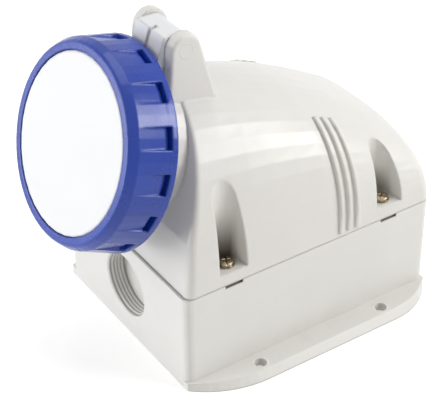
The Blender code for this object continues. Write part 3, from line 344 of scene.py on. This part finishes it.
@dataclass(frozen=True)
class SlotShade(PaintedShade):
    """Painted shade in the unlit inside of a narrow slot in a side face."""

    centre: Point
    half_size: Point
    strength: float = 0.95
    edge: float = 0.0003
    thinned: Slope = (0.2, 0.5, 0.85, 1.0)

    def share(self, parts: Sequence[Shade], rough: Shade) -> Shade:
        """Return how dark the painted shade in the slot is, 0 outside it.

        Args:
            parts: The x, y and z of the place.
            rough: A noise that thins the painted shade.

        Returns:
            The painted shade's share.
        """
        depth = rough.spread(*self.thinned) * self.strength
        for part, middle, half in zip(parts, self.centre, self.half_size):
            away = ((part - middle) ** 2) ** 0.5
            depth = away.spread(half - self.edge, half + self.edge, 1.0, 0.0) * depth
        return depth


@dataclass(frozen=True)
class ThreadGrooveShade(PaintedShade):
    """Painted shade in the grooves of the entry's thread, which runs about an axis along y."""

    crest: float = ENTRY_RADIUS - 0.0005
    root: float = ENTRY_RADIUS - 0.0001
    outside: float = ENTRY_RADIUS + 0.0004
    start: float = ENTRY_CENTRE[1] + 0.0002
    end: float = ENTRY_CENTRE[1] + 0.0115
    edge: float = 0.0002
    thinned: Slope = (0.2, 0.6, 0.7, 1.0)
    strength: float = 0.45

    def share(self, parts: Sequence[Shade], rough: Shade) -> Shade:
        """Return how strong the painted shade in the thread is, 0 on its crests.

        Args:
            parts: The x, y and z of the place.
            rough: A noise that thins the painted shade.

        Returns:
            The painted shade's share.
        """
        across = parts[0] - ENTRY_CENTRE[0]
        up = parts[2] - ENTRY_CENTRE[2]
        radius = (across * across + up * up) ** 0.5
        groove = radius.spread(self.crest, self.root) \
            * radius.spread(self.root + self.edge, self.outside, 1.0, 0.0)
        inside = parts[1].spread(self.start - self.edge, self.start) \
            * parts[1].spread(self.end, self.end + 2 * self.edge, 1.0, 0.0)
        return groove * inside * rough.spread(*self.thinned) * self.strength


@dataclass(frozen=True)
class MouldedPlastic:
    """An injection-moulded surface: faint flow clouds, pellet specks, a little dust and a fine eroded
    grain, with painted shade in recesses and painted highlights on marks where a piece asks for them.
    """

    name: str
    colour: Colour
    cloud: Colour
    speck: Colour
    roughness: float
    grain_size: float = 0.00045
    grain_depth: float = 0.000012
    coarse_grains: float = 9.0
    coarse_depth_share: float = 1.6
    cloud_size: float = 0.055
    cloud_span: Span = (0.35, 0.68)
    cloud_matt: Slope = (0.3, 0.7, -0.03, 0.03)
    speck_grains: float = 4.0
    speck_span: Span = (0.60, 0.74)
    speck_share: float = 0.5
    rubs_per_cloud: float = 2.6
    rubbed_matt: Slope = (0.35, 0.7, -0.02, 0.045)
    dust: Colour = (0.50, 0.48, 0.43)
    dust_span: Span = (0.52, 0.70)
    dust_rise: Slope = (0.020, 0.0, 0.25, 1.0)
    dust_share: float = 0.10
    coat: float = 0.15
    coat_roughness: float = 0.2
    specular: float = 0.5
    edge_round: float = 0.0
    marks: tuple[RoundMark, ...] = ()
    # The colour of the painted highlight on the marks' crests.
    painted_highlight_colour: Colour = (0.95, 0.94, 0.90)
    # Painted shade: this dark colour is laid into pockets, slots and thread grooves where shade falls.
    painted_shade: tuple[PaintedShade, ...] = ()
    painted_shade_colour: Colour = (0.085, 0.066, 0.046)

    def material(self) -> bpy.types.Material:
        """Build the finish.

        Returns:
            The material.
        """
        tree = MaterialTree(self.name, self.colour)
        here = tree.place()
        parts = tree.axes(here)
        clouds = tree.noise(here, 1 / self.cloud_size, detail=4.0, roughness=0.55)
        specks = tree.noise(here, 1 / (self.speck_grains * self.grain_size), detail=2.0, roughness=0.7)
        grain = tree.noise(here, 1 / self.grain_size, detail=3.0, roughness=0.6)
        coarse = tree.noise(here, 1 / (self.coarse_grains * self.grain_size), detail=2.0, roughness=0.5)
        rubbed = tree.noise(here, self.rubs_per_cloud / self.cloud_size, detail=5.0, roughness=0.62)
        body = tree.blend(clouds.spread(*self.cloud_span), self.colour, self.cloud)
        body = tree.blend(specks.spread(*self.speck_span, 0.0, self.speck_share), body, self.speck)
        settled = rubbed.spread(*self.dust_span) * parts[2].spread(*self.dust_rise) * self.dust_share
        body = tree.blend(settled, body, self.dust)
        matt = clouds.spread(*self.cloud_matt) + rubbed.spread(*self.rubbed_matt) + self.roughness
        edges = tree.rounded(self.edge_round) if self.edge_round else None
        fine = tree.relief(grain, self.grain_depth, edges)
        normal = tree.relief(coarse, self.grain_depth * self.coarse_depth_share, fine)
        # Each patch of painted shade darkens the colour where shade falls.
        for shade_mark in self.painted_shade:
            body = tree.blend(shade_mark.share(parts, rubbed), body, self.painted_shade_colour)
        # Each mark bumps the normal, and its lightening paints a highlight on its crest.
        for mark in self.marks:
            crest = mark.share(parts)
            normal = tree.relief(crest, mark.height, normal)
            body = tree.blend(crest * mark.painted_highlight, body, self.painted_highlight_colour)
        tree.feed(Base_Color=body, Roughness=matt, Normal=normal, Coat_Weight=self.coat,
                  Coat_Roughness=self.coat_roughness, Specular_IOR_Level=self.specular)
        return tree.material


@dataclass(frozen=True)
class SealRubber:
    """Black sealing rubber with a dry bloom and a fine open surface."""

    name: str
    colour: Colour = (0.018, 0.018, 0.019)
    bloom: Colour = (0.085, 0.083, 0.080)
    bloom_scale: float = 90.0
    bloom_slope: Slope = (0.45, 0.8, 0.0, 0.7)
    matt_slope: Slope = (0.3, 0.7, 0.68, 0.88)
    pore_size: float = 0.0006
    pore_depth: float = 0.00003
    specular: float = 0.35

    def material(self) -> bpy.types.Material:
        """Build the finish.

        Returns:
            The material.
        """
        tree = MaterialTree(self.name, self.colour)
        here = tree.place()
        patches = tree.noise(here, self.bloom_scale, detail=4.0, roughness=0.6)
        pores = tree.noise(here, 1 / self.pore_size, detail=3.0, roughness=0.7)
        body = tree.blend(patches.spread(*self.bloom_slope), self.colour, self.bloom)
        tree.feed(Base_Color=body, Roughness=patches.spread(*self.matt_slope),
                  Normal=tree.relief(pores, self.pore_depth), Specular_IOR_Level=self.specular)
        return tree.material


@dataclass(frozen=True)
class WorkedMetal:
    """A turned or plated metal with stains, fine scratches and tool marks."""

    name: str
    colour: Colour
    stain: Colour
    roughness: float
    stain_scale: float = 420.0
    stain_slope: Slope = (0.42, 0.72, 0.0, 0.6)
    stain_matt: Slope = (0.35, 0.75, -0.05, 0.16)
    mark_size: float = 0.0004
    mark_depth: float = 0.00001
    mark_stretch: Point = (1.0, 1.0, 7.0)
    mark_slope: Slope = (0.55, 0.8, 0.0, 0.25)
    mark_matt: Slope = (0.3, 0.7, -0.04, 0.05)

    def material(self) -> bpy.types.Material:
        """Build the finish.

        Returns:
            The material.
        """
        tree = MaterialTree(self.name, self.colour)
        here = tree.place()
        stains = tree.noise(here, self.stain_scale, detail=5.0, roughness=0.65)
        stretched = tree.node("ShaderNodeMapping", values={"Vector": here, "Scale": self.mark_stretch})
        marks = tree.noise(stretched, 1 / self.mark_size, detail=3.0, roughness=0.6)
        body = tree.blend(stains.spread(*self.stain_slope), self.colour, self.stain)
        body = tree.blend(marks.spread(*self.mark_slope), body, self.stain)
        matt = stains.spread(*self.stain_matt) + marks.spread(*self.mark_matt) + self.roughness
        tree.feed(Base_Color=body, Roughness=matt, Metallic=1.0, Normal=tree.relief(marks, self.mark_depth))
        return tree.material


Recipe = Union[MouldedPlastic, SealRubber, WorkedMetal]


class Finish(Enum):
    """The finishes of the socket's pieces."""

    HOUSING = "housing_grey"
    BOX = "box_grey"
    RUBBER = "seal_rubber"
    BRASS = "screw_brass"
    CORE = "core_blue"
    PLATE = "terminal_black"
    CONTACT = "contact_metal"
    STEEL = "pin_steel"
    CAP = "cap_white"
    RING = "ring_blue"


def middle(node: str) -> Vector:
    """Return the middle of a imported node's box."""
    low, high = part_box(node)
    return (low + high) / 2


@dataclass(frozen=True)
class MarksAndPaintedLight:
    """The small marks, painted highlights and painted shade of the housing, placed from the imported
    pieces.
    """

    pocket_floor: float = 0.0711
    pocket_inward: float = 0.0055
    pocket_shifts: Span = (-0.0008, -0.0012)
    pocket_rises: Span = (0.036, 0.020)
    pocket_strengths: Span = (0.90, 0.60)
    slot_across: float = 0.0638
    slot_height: float = 0.0622
    slot_half_size: Point = (0.0008, 0.0060, 0.0012)

    def pockets(self) -> tuple[PaintedShade, ...]:
        """Return the painted shade on the floors of the screw pockets.

        Returns:
            One patch for each cover screw, the two front ones first.
        """
        patches: list[PaintedShade] = []
        for index, name in enumerate(COVER_SCREWS):
            screw = middle(name)
            row = index // 2
            inward = math.copysign(self.pocket_inward, screw.x)
            centre = (screw.x - inward, screw.y + self.pocket_shifts[row], self.pocket_floor)
            patches.append(ShadePatch(centre, self.pocket_rises[row], self.pocket_strengths[row]))
        return tuple(patches)

    def pry_slots(self) -> tuple[PaintedShade, ...]:
        """Return the painted shade in the insides of the pry slots, which lie beside the cover screws.

        Returns:
            One slot for each cover screw.
        """
        slots: list[PaintedShade] = []
        for name in COVER_SCREWS:
            screw = middle(name)
            centre = (math.copysign(self.slot_across, screw.x), screw.y, self.slot_height)
            slots.append(SlotShade(centre, self.slot_half_size))
        return tuple(slots)

    def wall_hole_rims(self) -> tuple[RoundMark, ...]:
        """Return the rims of the holes in the flanges, each with a painted highlight on its crest.

        Returns:
            One mark for each hole.
        """
        return tuple(RoundMark(axes=(0, 1), centre=(side * WALL_HOLE_ACROSS, row), radius=0.0043,
                               width=0.0007, height=0.0002, painted_highlight=0.5)
                     for side in SIDES for row in WALL_HOLE_ROWS)

    def pin_rim(self) -> tuple[RoundMark, ...]:
        """Return the faint ring that the hinge pin's bore leaves in the blind ear."""
        pin = middle("hinge_pin")
        return (RoundMark(axes=(1, 2), centre=(pin.y, pin.z), radius=0.0040, width=0.0005, height=0.00012),)


def recipes() -> dict[Finish, Recipe]:
    """Set out how each finish is made.

    Returns:
        The recipes by finish.
    """
    # The grey finishes carry painted shade in the pockets, slots and thread grooves, and painted highlights
    # on the hole rims.
    marks_and_light = MarksAndPaintedLight()
    return {
        Finish.HOUSING: MouldedPlastic(
            "housing_grey_moulded", colour=(0.735, 0.722, 0.690), cloud=(0.755, 0.745, 0.715),
            speck=(0.690, 0.675, 0.640), roughness=0.36, edge_round=0.0022,
            marks=marks_and_light.pin_rim(), painted_shade=marks_and_light.pockets()),
        Finish.BOX: MouldedPlastic(
            "box_grey_moulded", colour=(0.745, 0.735, 0.705), cloud=(0.765, 0.757, 0.730),
            speck=(0.700, 0.688, 0.655), roughness=0.38, edge_round=0.0010,
            marks=marks_and_light.wall_hole_rims(), painted_shade=marks_and_light.pry_slots() + (ThreadGrooveShade(),)),
        Finish.RUBBER: SealRubber("seal_rubber_black"),
        Finish.BRASS: WorkedMetal(
            "screw_yellow_passivated", colour=(0.40, 0.33, 0.23), stain=(0.14, 0.10, 0.06), roughness=0.27),
        Finish.CORE: MouldedPlastic(
            "core_blue_moulded", colour=(0.020, 0.060, 0.330), cloud=(0.026, 0.074, 0.370),
            speck=(0.016, 0.045, 0.270), roughness=0.42),
        Finish.PLATE: MouldedPlastic(
            "terminal_black_moulded", colour=(0.030, 0.030, 0.034), cloud=(0.040, 0.040, 0.044),
            speck=(0.060, 0.058, 0.056), roughness=0.46),
        Finish.CONTACT: WorkedMetal(
            "contact_nickel", colour=(0.66, 0.63, 0.57), stain=(0.48, 0.44, 0.37), roughness=0.22),
        Finish.STEEL: WorkedMetal(
            "pin_steel_plain", colour=(0.56, 0.56, 0.56), stain=(0.36, 0.35, 0.34), roughness=0.28),
        Finish.CAP: MouldedPlastic(
            "cap_white_moulded", colour=(0.800, 0.812, 0.826), cloud=(0.815, 0.826, 0.840),
            speck=(0.768, 0.778, 0.790), roughness=0.42, edge_round=0.0020, speck_share=0.3,
            coat=0.0, dust_share=0.0, specular=0.35),
        Finish.RING: MouldedPlastic(
            "ring_blue_moulded", colour=(0.004, 0.038, 0.330), cloud=(0.006, 0.045, 0.370),
            speck=(0.003, 0.030, 0.275), roughness=0.26, edge_round=0.0016, coat=0.12,
            coat_roughness=0.12, dust_share=0.0, specular=0.45),
    }


class Wardrobe:
    """Builds each finish once and hands it out."""

    def __init__(self) -> None:
        """Start with the recipes and no finish built."""
        self._recipes: dict[Finish, Recipe] = recipes()
        self._built: dict[Finish, bpy.types.Material] = {}

    def get(self, finish: Finish) -> bpy.types.Material:
        """Return a finish, built on its first use.

        Args:
            finish: The finish.

        Returns:
            Its material.
        """
        if finish not in self._built:
            self._built[finish] = self._recipes[finish].material()
        return self._built[finish]

    def dress_node(self, node: str, finish: Finish) -> None:
        """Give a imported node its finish.

        Args:
            node: The node's name.
            finish: The finish for all its slots.
        """
        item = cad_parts[node]
        if not item.material_slots:
            item.data.materials.append(None)
        for slot in item.material_slots:
            slot.material = self.get(finish)
        LOG.info("dressed %s in %s", node, finish.value)

    def dress_piece(self, piece: bpy.types.Object, finish: Finish, body: str) -> None:
        """Give a new piece its finish and the body that it rides on.

        Args:
            piece: The new object, in place.
            finish: Its finish.
            body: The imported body's name.
        """
        piece.data.materials.clear()
        piece.data.materials.append(self.get(finish))
        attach(piece, body)
        LOG.info("added %s on %s", piece.name, body)


def mesh_object(name: str, points: Sequence[Any], faces: Sequence[Sequence[int]],
                sharp: float = 35.0) -> bpy.types.Object:
    """Make an object from points and faces, shaded smooth up to an angle.

    Args:
        name: The object's name.
        points: Its corners.
        faces: Its faces, as indices.
        sharp: Edges steeper than this many degrees stay sharp.

    Returns:
        The linked object.
    """
    mesh = bpy.data.meshes.new(name)
    mesh.from_pydata([tuple(p) for p in points], [], [tuple(f) for f in faces])
    work = bmesh.new()
    work.from_mesh(mesh)
    bmesh.ops.recalc_face_normals(work, faces=work.faces)
    work.to_mesh(mesh)
    work.free()
    mesh.shade_smooth()
    mesh.set_sharp_from_angle(angle=math.radians(sharp))
    made = bpy.data.objects.new(name, mesh)
    bpy.context.scene.collection.objects.link(made)
    return made


def turned_mesh(name: str, profile: Sequence[Span], steps: int) -> bpy.types.Object:
    """Turn a profile about the local z axis.

    Args:
        name: The object's name.
        profile: (radius, height) points from the top axis to the bottom axis.
        steps: Sides of the turned form.

    Returns:
        The linked object.
    """
    points: list[Point] = []
    rows: list[list[int]] = []
    for radius, height in profile:
        if radius == 0:
            rows.append([len(points)])
            points.append((0.0, 0.0, height))
            continue
        rows.append([len(points) + k for k in range(steps)])
        for k in range(steps):
            angle = 2 * math.pi * k / steps
            points.append((radius * math.cos(angle), radius * math.sin(angle), height))
    faces: list[tuple[int, ...]] = []
    for upper, lower in zip(rows, rows[1:]):
        for k in range(steps):
            after = (k + 1) % steps
            quad = [upper[k % len(upper)], upper[after % len(upper)], lower[after % len(lower)],
                    lower[k % len(lower)]]
            faces.append(tuple(dict.fromkeys(quad)))
    return mesh_object(name, points, faces)


@dataclass
class BackBox:
    """The box on the wall with its membrane, its thread and its seal."""

    wardrobe: Wardrobe
    thread_depth: float = 0.0007
    thread_pitch: float = 0.0021
    thread_start: float = 0.0017
    thread_end: float = 0.0104
    thread_sunk: float = 0.00025
    fade_steps: int = 10
    steps_round: int = 72
    ridge_shares: tuple[Span, ...] = ((0.10, -0.40), (1.0, -0.10), (1.0, 0.10), (0.10, 0.40))
    sharp_degrees: float = 60.0
    thread: Optional[bpy.types.Object] = None

    def _section(self, fade: float) -> list[Span]:
        """Return one section across the thread's ridge.

        Args:
            fade: Height of the ridge, 1 in full and 0 where the thread runs out.

        Returns:
            (radius, place along the axis) points.
        """
        root = ENTRY_RADIUS + self.thread_sunk
        ridge = [(ENTRY_RADIUS - self.thread_depth * height * fade, along * self.thread_pitch)
                 for height, along in self.ridge_shares]
        return [(root, -self.thread_pitch / 2)] + ridge + [(root, self.thread_pitch / 2)]

    def build(self) -> None:
        """Build the thread inside the cable entry."""
        turns = (self.thread_end - self.thread_start) / self.thread_pitch
        count = int(self.steps_round * turns)
        points: list[Point] = []
        for k in range(count + 1):
            angle = 2 * math.pi * k / self.steps_round
            run = self.thread_start + self.thread_pitch * k / self.steps_round
            fade = min(1.0, k / self.fade_steps, (count - k) / self.fade_steps)
            for radius, along in self._section(fade):
                points.append((ENTRY_CENTRE[0] + radius * math.cos(angle), ENTRY_CENTRE[1] + run + along,
                               ENTRY_CENTRE[2] + radius * math.sin(angle)))
        across = len(self.ridge_shares) + 2
        faces: list[tuple[int, ...]] = []
        for i in range(count):
            for j in range(across - 1):
                faces.append((i * across + j, i * across + j + 1, (i + 1) * across + j + 1,
                              (i + 1) * across + j))
        self.thread = mesh_object("entry_thread", points, faces, self.sharp_degrees)

    def dress(self) -> None:
        """Give the box, its seal and the thread their finishes."""
        self.wardrobe.dress_node("back_box", Finish.BOX)
        self.wardrobe.dress_node("box_seal", Finish.RUBBER)
        self.wardrobe.dress_piece(self.thread, Finish.BOX, "housing")


@dataclass
class CoverScrews:
    """The four cheese-head screws in the pockets, with crossed and slotted recesses."""

    wardrobe: Wardrobe
    head_radius: float = 0.0042
    head_height: float = 0.0030
    head_sunk: float = 0.0026
    dome_steps: int = 8
    dome_edge_share: float = 0.42
    shank_radius: float = 0.0020
    shank_length: float = 0.012
    washer_radius: float = 0.0047
    washer_height: float = 0.0005
    slot_width: float = 0.0009
    slot_reach_share: float = 1.2
    cross_width: float = 0.0011
    cross_reach: float = 0.0024
    recess_depth: float = 0.0014
    steps: int = 40
    turns: tuple[float, ...] = (20.0, 65.0, 110.0, 35.0)
    pieces: list[bpy.types.Object] = field(default_factory=list)

    def _profile(self) -> list[Span]:
        """Return the screw's turned profile, washer included, with its underside in z = 0.

        Returns:
            (radius, height) points from the top of the head to the end of the shank.
        """
        rim = self.washer_height
        rise = self.head_height - rim
        dome: list[Span] = []
        for k in range(1, self.dome_steps + 1):
            angle = math.pi / 2 * k / self.dome_steps
            share = self.dome_edge_share + (1 - self.dome_edge_share) * math.cos(angle)
            dome.append((self.head_radius * math.sin(angle), rim + rise * share))
        foot = [(self.head_radius, rim), (self.washer_radius, rim), (self.washer_radius, 0.0),
                (self.shank_radius, 0.0), (self.shank_radius, -self.shank_length),
                (0.0, -self.shank_length)]
        return [(0.0, self.head_height)] + dome + foot

    def _cutter(self, name: str, half_length: float, half_width: float) -> bpy.types.Object:
        """Return a box that cuts one slot of the recess.

        Args:
            name: The box's name.
            half_length: Half of its size along x.
            half_width: Half of its size along y.

        Returns:
            The box.
        """
        low, high = self.head_height - self.recess_depth, self.head_height + self.recess_depth
        points = [(x, y, z) for x in (-half_length, half_length) for y in (-half_width, half_width)
                  for z in (low, high)]
        faces = ((0, 1, 3, 2), (4, 6, 7, 5), (0, 4, 5, 1), (2, 3, 7, 6), (0, 2, 6, 4), (1, 5, 7, 3))
        return mesh_object(name, points, faces)

    def build(self) -> None:
        """Build one screw for each imported screw, at the same place."""
        for index, (name, turn) in enumerate(zip(COVER_SCREWS, self.turns), 1):
            low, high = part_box(name)
            head = turned_mesh(f"pocket_screw_{index}", self._profile(), self.steps)
            slot_reach = self.head_radius * self.slot_reach_share
            cutters = [self._cutter("recess_a", self.cross_reach, self.cross_width / 2),
                       self._cutter("recess_b", self.slot_width / 2, slot_reach)]
            for cutter in cutters:
                step = head.modifiers.new(cutter.name, "BOOLEAN")
                step.solver = "EXACT"
                step.object = cutter
            bpy.context.view_layer.update()
            cut = bpy.data.meshes.new_from_object(head.evaluated_get(bpy.context.evaluated_depsgraph_get()))
            head.modifiers.clear()
            head.data = cut
            for cutter in cutters:
                bpy.data.objects.remove(cutter)
            seat = Vector(((low.x + high.x) / 2, (low.y + high.y) / 2, high.z - self.head_sunk))
            head.matrix_world = Matrix.Translation(seat) @ Matrix.Rotation(math.radians(turn), 4, "Z")
            self.pieces.append(head)

    def dress(self) -> None:
        """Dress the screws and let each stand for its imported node."""
        for name, piece in zip(COVER_SCREWS, self.pieces):
            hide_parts(name)
            self.wardrobe.dress_piece(piece, Finish.BRASS, "housing")


@dataclass
class Hood:
    """The cover with its ribs, pockets, hinge ears and neck."""

    wardrobe: Wardrobe

    def dress(self) -> None:
        """Give the cover, the collar on its neck and the hinge pin their finishes."""
        self.wardrobe.dress_node("cover", Finish.HOUSING)
        self.wardrobe.dress_node("bayonet_collar", Finish.CORE)
        self.wardrobe.dress_node("hinge_pin", Finish.STEEL)


@dataclass
class ContactInsert:
    """The insulating core with its contacts, terminals and screws."""

    wardrobe: Wardrobe
    contacts: tuple[str, ...] = ("earth", "line", "neutral", "pilot")
    steel_screws: tuple[str, ...] = ("insert_screw_1", "insert_screw_2", "plate_screw_1", "plate_screw_2",
                                     "plate_screw_3")

    def dress(self) -> None:
        """Give the insert's pieces their finishes."""
        self.wardrobe.dress_node("contact_core", Finish.CORE)
        self.wardrobe.dress_node("terminal_plate", Finish.PLATE)
        self.wardrobe.dress_node("insert_seal", Finish.RUBBER)
        for name in self.contacts:
            self.wardrobe.dress_node(f"contact_{name}", Finish.CONTACT)
            self.wardrobe.dress_node(f"clamp_screw_{name}", Finish.BRASS)
        for name in self.steel_screws:
            self.wardrobe.dress_node(name, Finish.STEEL)


@dataclass
class Lid:
    """The white cap on its arm, with the seal in it."""

    wardrobe: Wardrobe

    def dress(self) -> None:
        """Give the cap and its seal their finishes."""
        self.wardrobe.dress_node("lid_cap", Finish.CAP)
        self.wardrobe.dress_node("lid_seal", Finish.RUBBER)


@dataclass
class LockingRing:
    """The blue bayonet ring that turns on the cap."""

    wardrobe: Wardrobe

    def dress(self) -> None:
        """Give the ring its finish."""
        self.wardrobe.dress_node("locking_ring", Finish.RING)


@dataclass(frozen=True)
class SoftLamp:
    """A soft lamp: where it hangs, what it faces, its sides in metres, its watts and its tint."""

    name: str
    place: Point
    target: Point
    across: float
    up: float
    power: float
    tint: Colour

    def hang(self) -> None:
        """Add the lamp to the scene."""
        light = bpy.data.lights.new(f"lamp_{self.name}", "AREA")
        light.shape = "RECTANGLE"
        light.size = self.across
        light.size_y = self.up
        light.energy = self.power
        light.color = self.tint
        made = bpy.data.objects.new(light.name, light)
        made.location = self.place
        aim = Vector(self.target) - Vector(self.place)
        made.rotation_euler = aim.to_track_quat("-Z", "Y").to_euler()
        bpy.context.scene.collection.objects.link(made)


@dataclass
class Studio:
    """A pale floor, soft lamps, a plain surround and the camera at the photograph's angle."""

    lamps: tuple[SoftLamp, ...] = (
        SoftLamp("key", place=(-0.45, -1.20, 0.85), target=(0.0, -0.08, 0.12),
                 across=0.9, up=0.8, power=5.4, tint=(0.98, 0.985, 0.98)),
        SoftLamp("front_low", place=(-0.55, -1.25, 0.16), target=(0.0, -0.12, 0.06),
                 across=1.0, up=0.3, power=7.1, tint=(0.97, 0.99, 1.03)),
        SoftLamp("top", place=(-0.35, 0.30, 1.55), target=(0.0, 0.0, 0.1),
                 across=1.2, up=1.0, power=6.4, tint=(0.93, 0.97, 1.03)),
        SoftLamp("side", place=(0.757, 0.816, 0.794), target=(0.03, -0.115, 0.14),
                 across=0.70, up=0.45, power=10.0, tint=(1.0, 1.0, 1.0)),
    )
    floor_half: float = 6.0
    floor_drop: float = 0.0002
    floor_colour: Colour = (0.92, 0.92, 0.92)
    floor_roughness: float = 0.9
    floor_fade: Span = (0.5, 1.6)
    glow_near: Colour = (0.37, 0.37, 0.37)
    glow_far: Colour = (0.85, 0.85, 0.85)
    world_light: float = 0.355
    world_seen: float = 1.0
    world_tint: Colour = (1.0, 0.965, 0.90)
    world_white: Colour = (1.0, 1.0, 1.0)
    camera_place: Point = (0.5810, -0.4066, 0.5666)
    camera_degrees: Point = (54.3469, 0.2818, 56.0184)
    camera_clip: Span = (0.01, 50.0)
    focal_pixels: float = 1478.46
    image_width: float = 444.0
    sensor: float = 36.0

    def floor(self) -> None:
        """Lay the floor, which shows white to the camera and keeps the shadow."""
        half = self.floor_half
        corners = [(x * half, y * half, -self.floor_drop) for x, y in ((-1, -1), (1, -1), (1, 1), (-1, 1))]
        made = mesh_object("studio_floor", corners, [(0, 1, 2, 3)])
        tree = MaterialTree("studio_floor_white", self.floor_colour)
        tree.feed(Base_Color=self.floor_colour, Roughness=self.floor_roughness, Specular_IOR_Level=0.0)
        across, along, _ = tree.axes(tree.place())
        distance = (across * across + along * along) ** 0.5
        white = tree.blend(distance.spread(*self.floor_fade), self.glow_near, self.glow_far)
        glow = tree.node("ShaderNodeEmission", values={"Color": white, "Strength": 1.0})
        lit = Shade(tree, tree.shader.outputs["BSDF"])
        both = tree.node("ShaderNodeAddShader", values={0: lit, 1: glow})
        mixed = tree.node("ShaderNodeMixShader", values={0: tree.looked_at(), 1: lit, 2: both})
        tree.put(tree.nodes["Material Output"].inputs["Surface"], mixed)
        made.data.materials.append(tree.material)

    def surround(self) -> None:
        """Set the world: white where it is seen or mirrored, an even grey where it lights."""
        world = bpy.data.worlds.new("studio_world")
        bpy.context.scene.world = world
        tree = ShaderTree(world, "Background")
        seen = tree.looked_at()
        tree.feed(Strength=seen.spread(0.0, 1.0, self.world_light, self.world_seen),
                  Color=tree.blend(seen, self.world_tint, self.world_white))

    def camera(self) -> None:
        """Put the camera where the photograph was taken from."""
        lens = bpy.data.cameras.new("photo_camera")
        lens.sensor_width = self.sensor
        lens.lens = self.focal_pixels * self.sensor / self.image_width
        lens.clip_start, lens.clip_end = self.camera_clip
        made = bpy.data.objects.new("photo_camera", lens)
        made.location = self.camera_place
        made.rotation_euler = [math.radians(angle) for angle in self.camera_degrees]
        bpy.context.scene.collection.objects.link(made)
        bpy.context.scene.camera = made

    def build(self) -> None:
        """Set up the whole studio."""
        self.floor()
        self.surround()
        for lamp in self.lamps:
            lamp.hang()
        self.camera()
        bpy.context.scene.view_settings.view_transform = "Standard"
        LOG.info("studio ready")


def main() -> None:
    """Dress the socket, add its small pieces and set up the studio."""
    logging.basicConfig(level=logging.INFO, format="%(name)s: %(message)s")
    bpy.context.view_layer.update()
    wardrobe = Wardrobe()
    box = BackBox(wardrobe)
    box.build()
    box.dress()
    screws = CoverScrews(wardrobe)
    screws.build()
    screws.dress()
    for group in (Hood(wardrobe), ContactInsert(wardrobe), Lid(wardrobe), LockingRing(wardrobe)):
        group.dress()
    Studio().build()


if __name__ == "__main__":
    main()
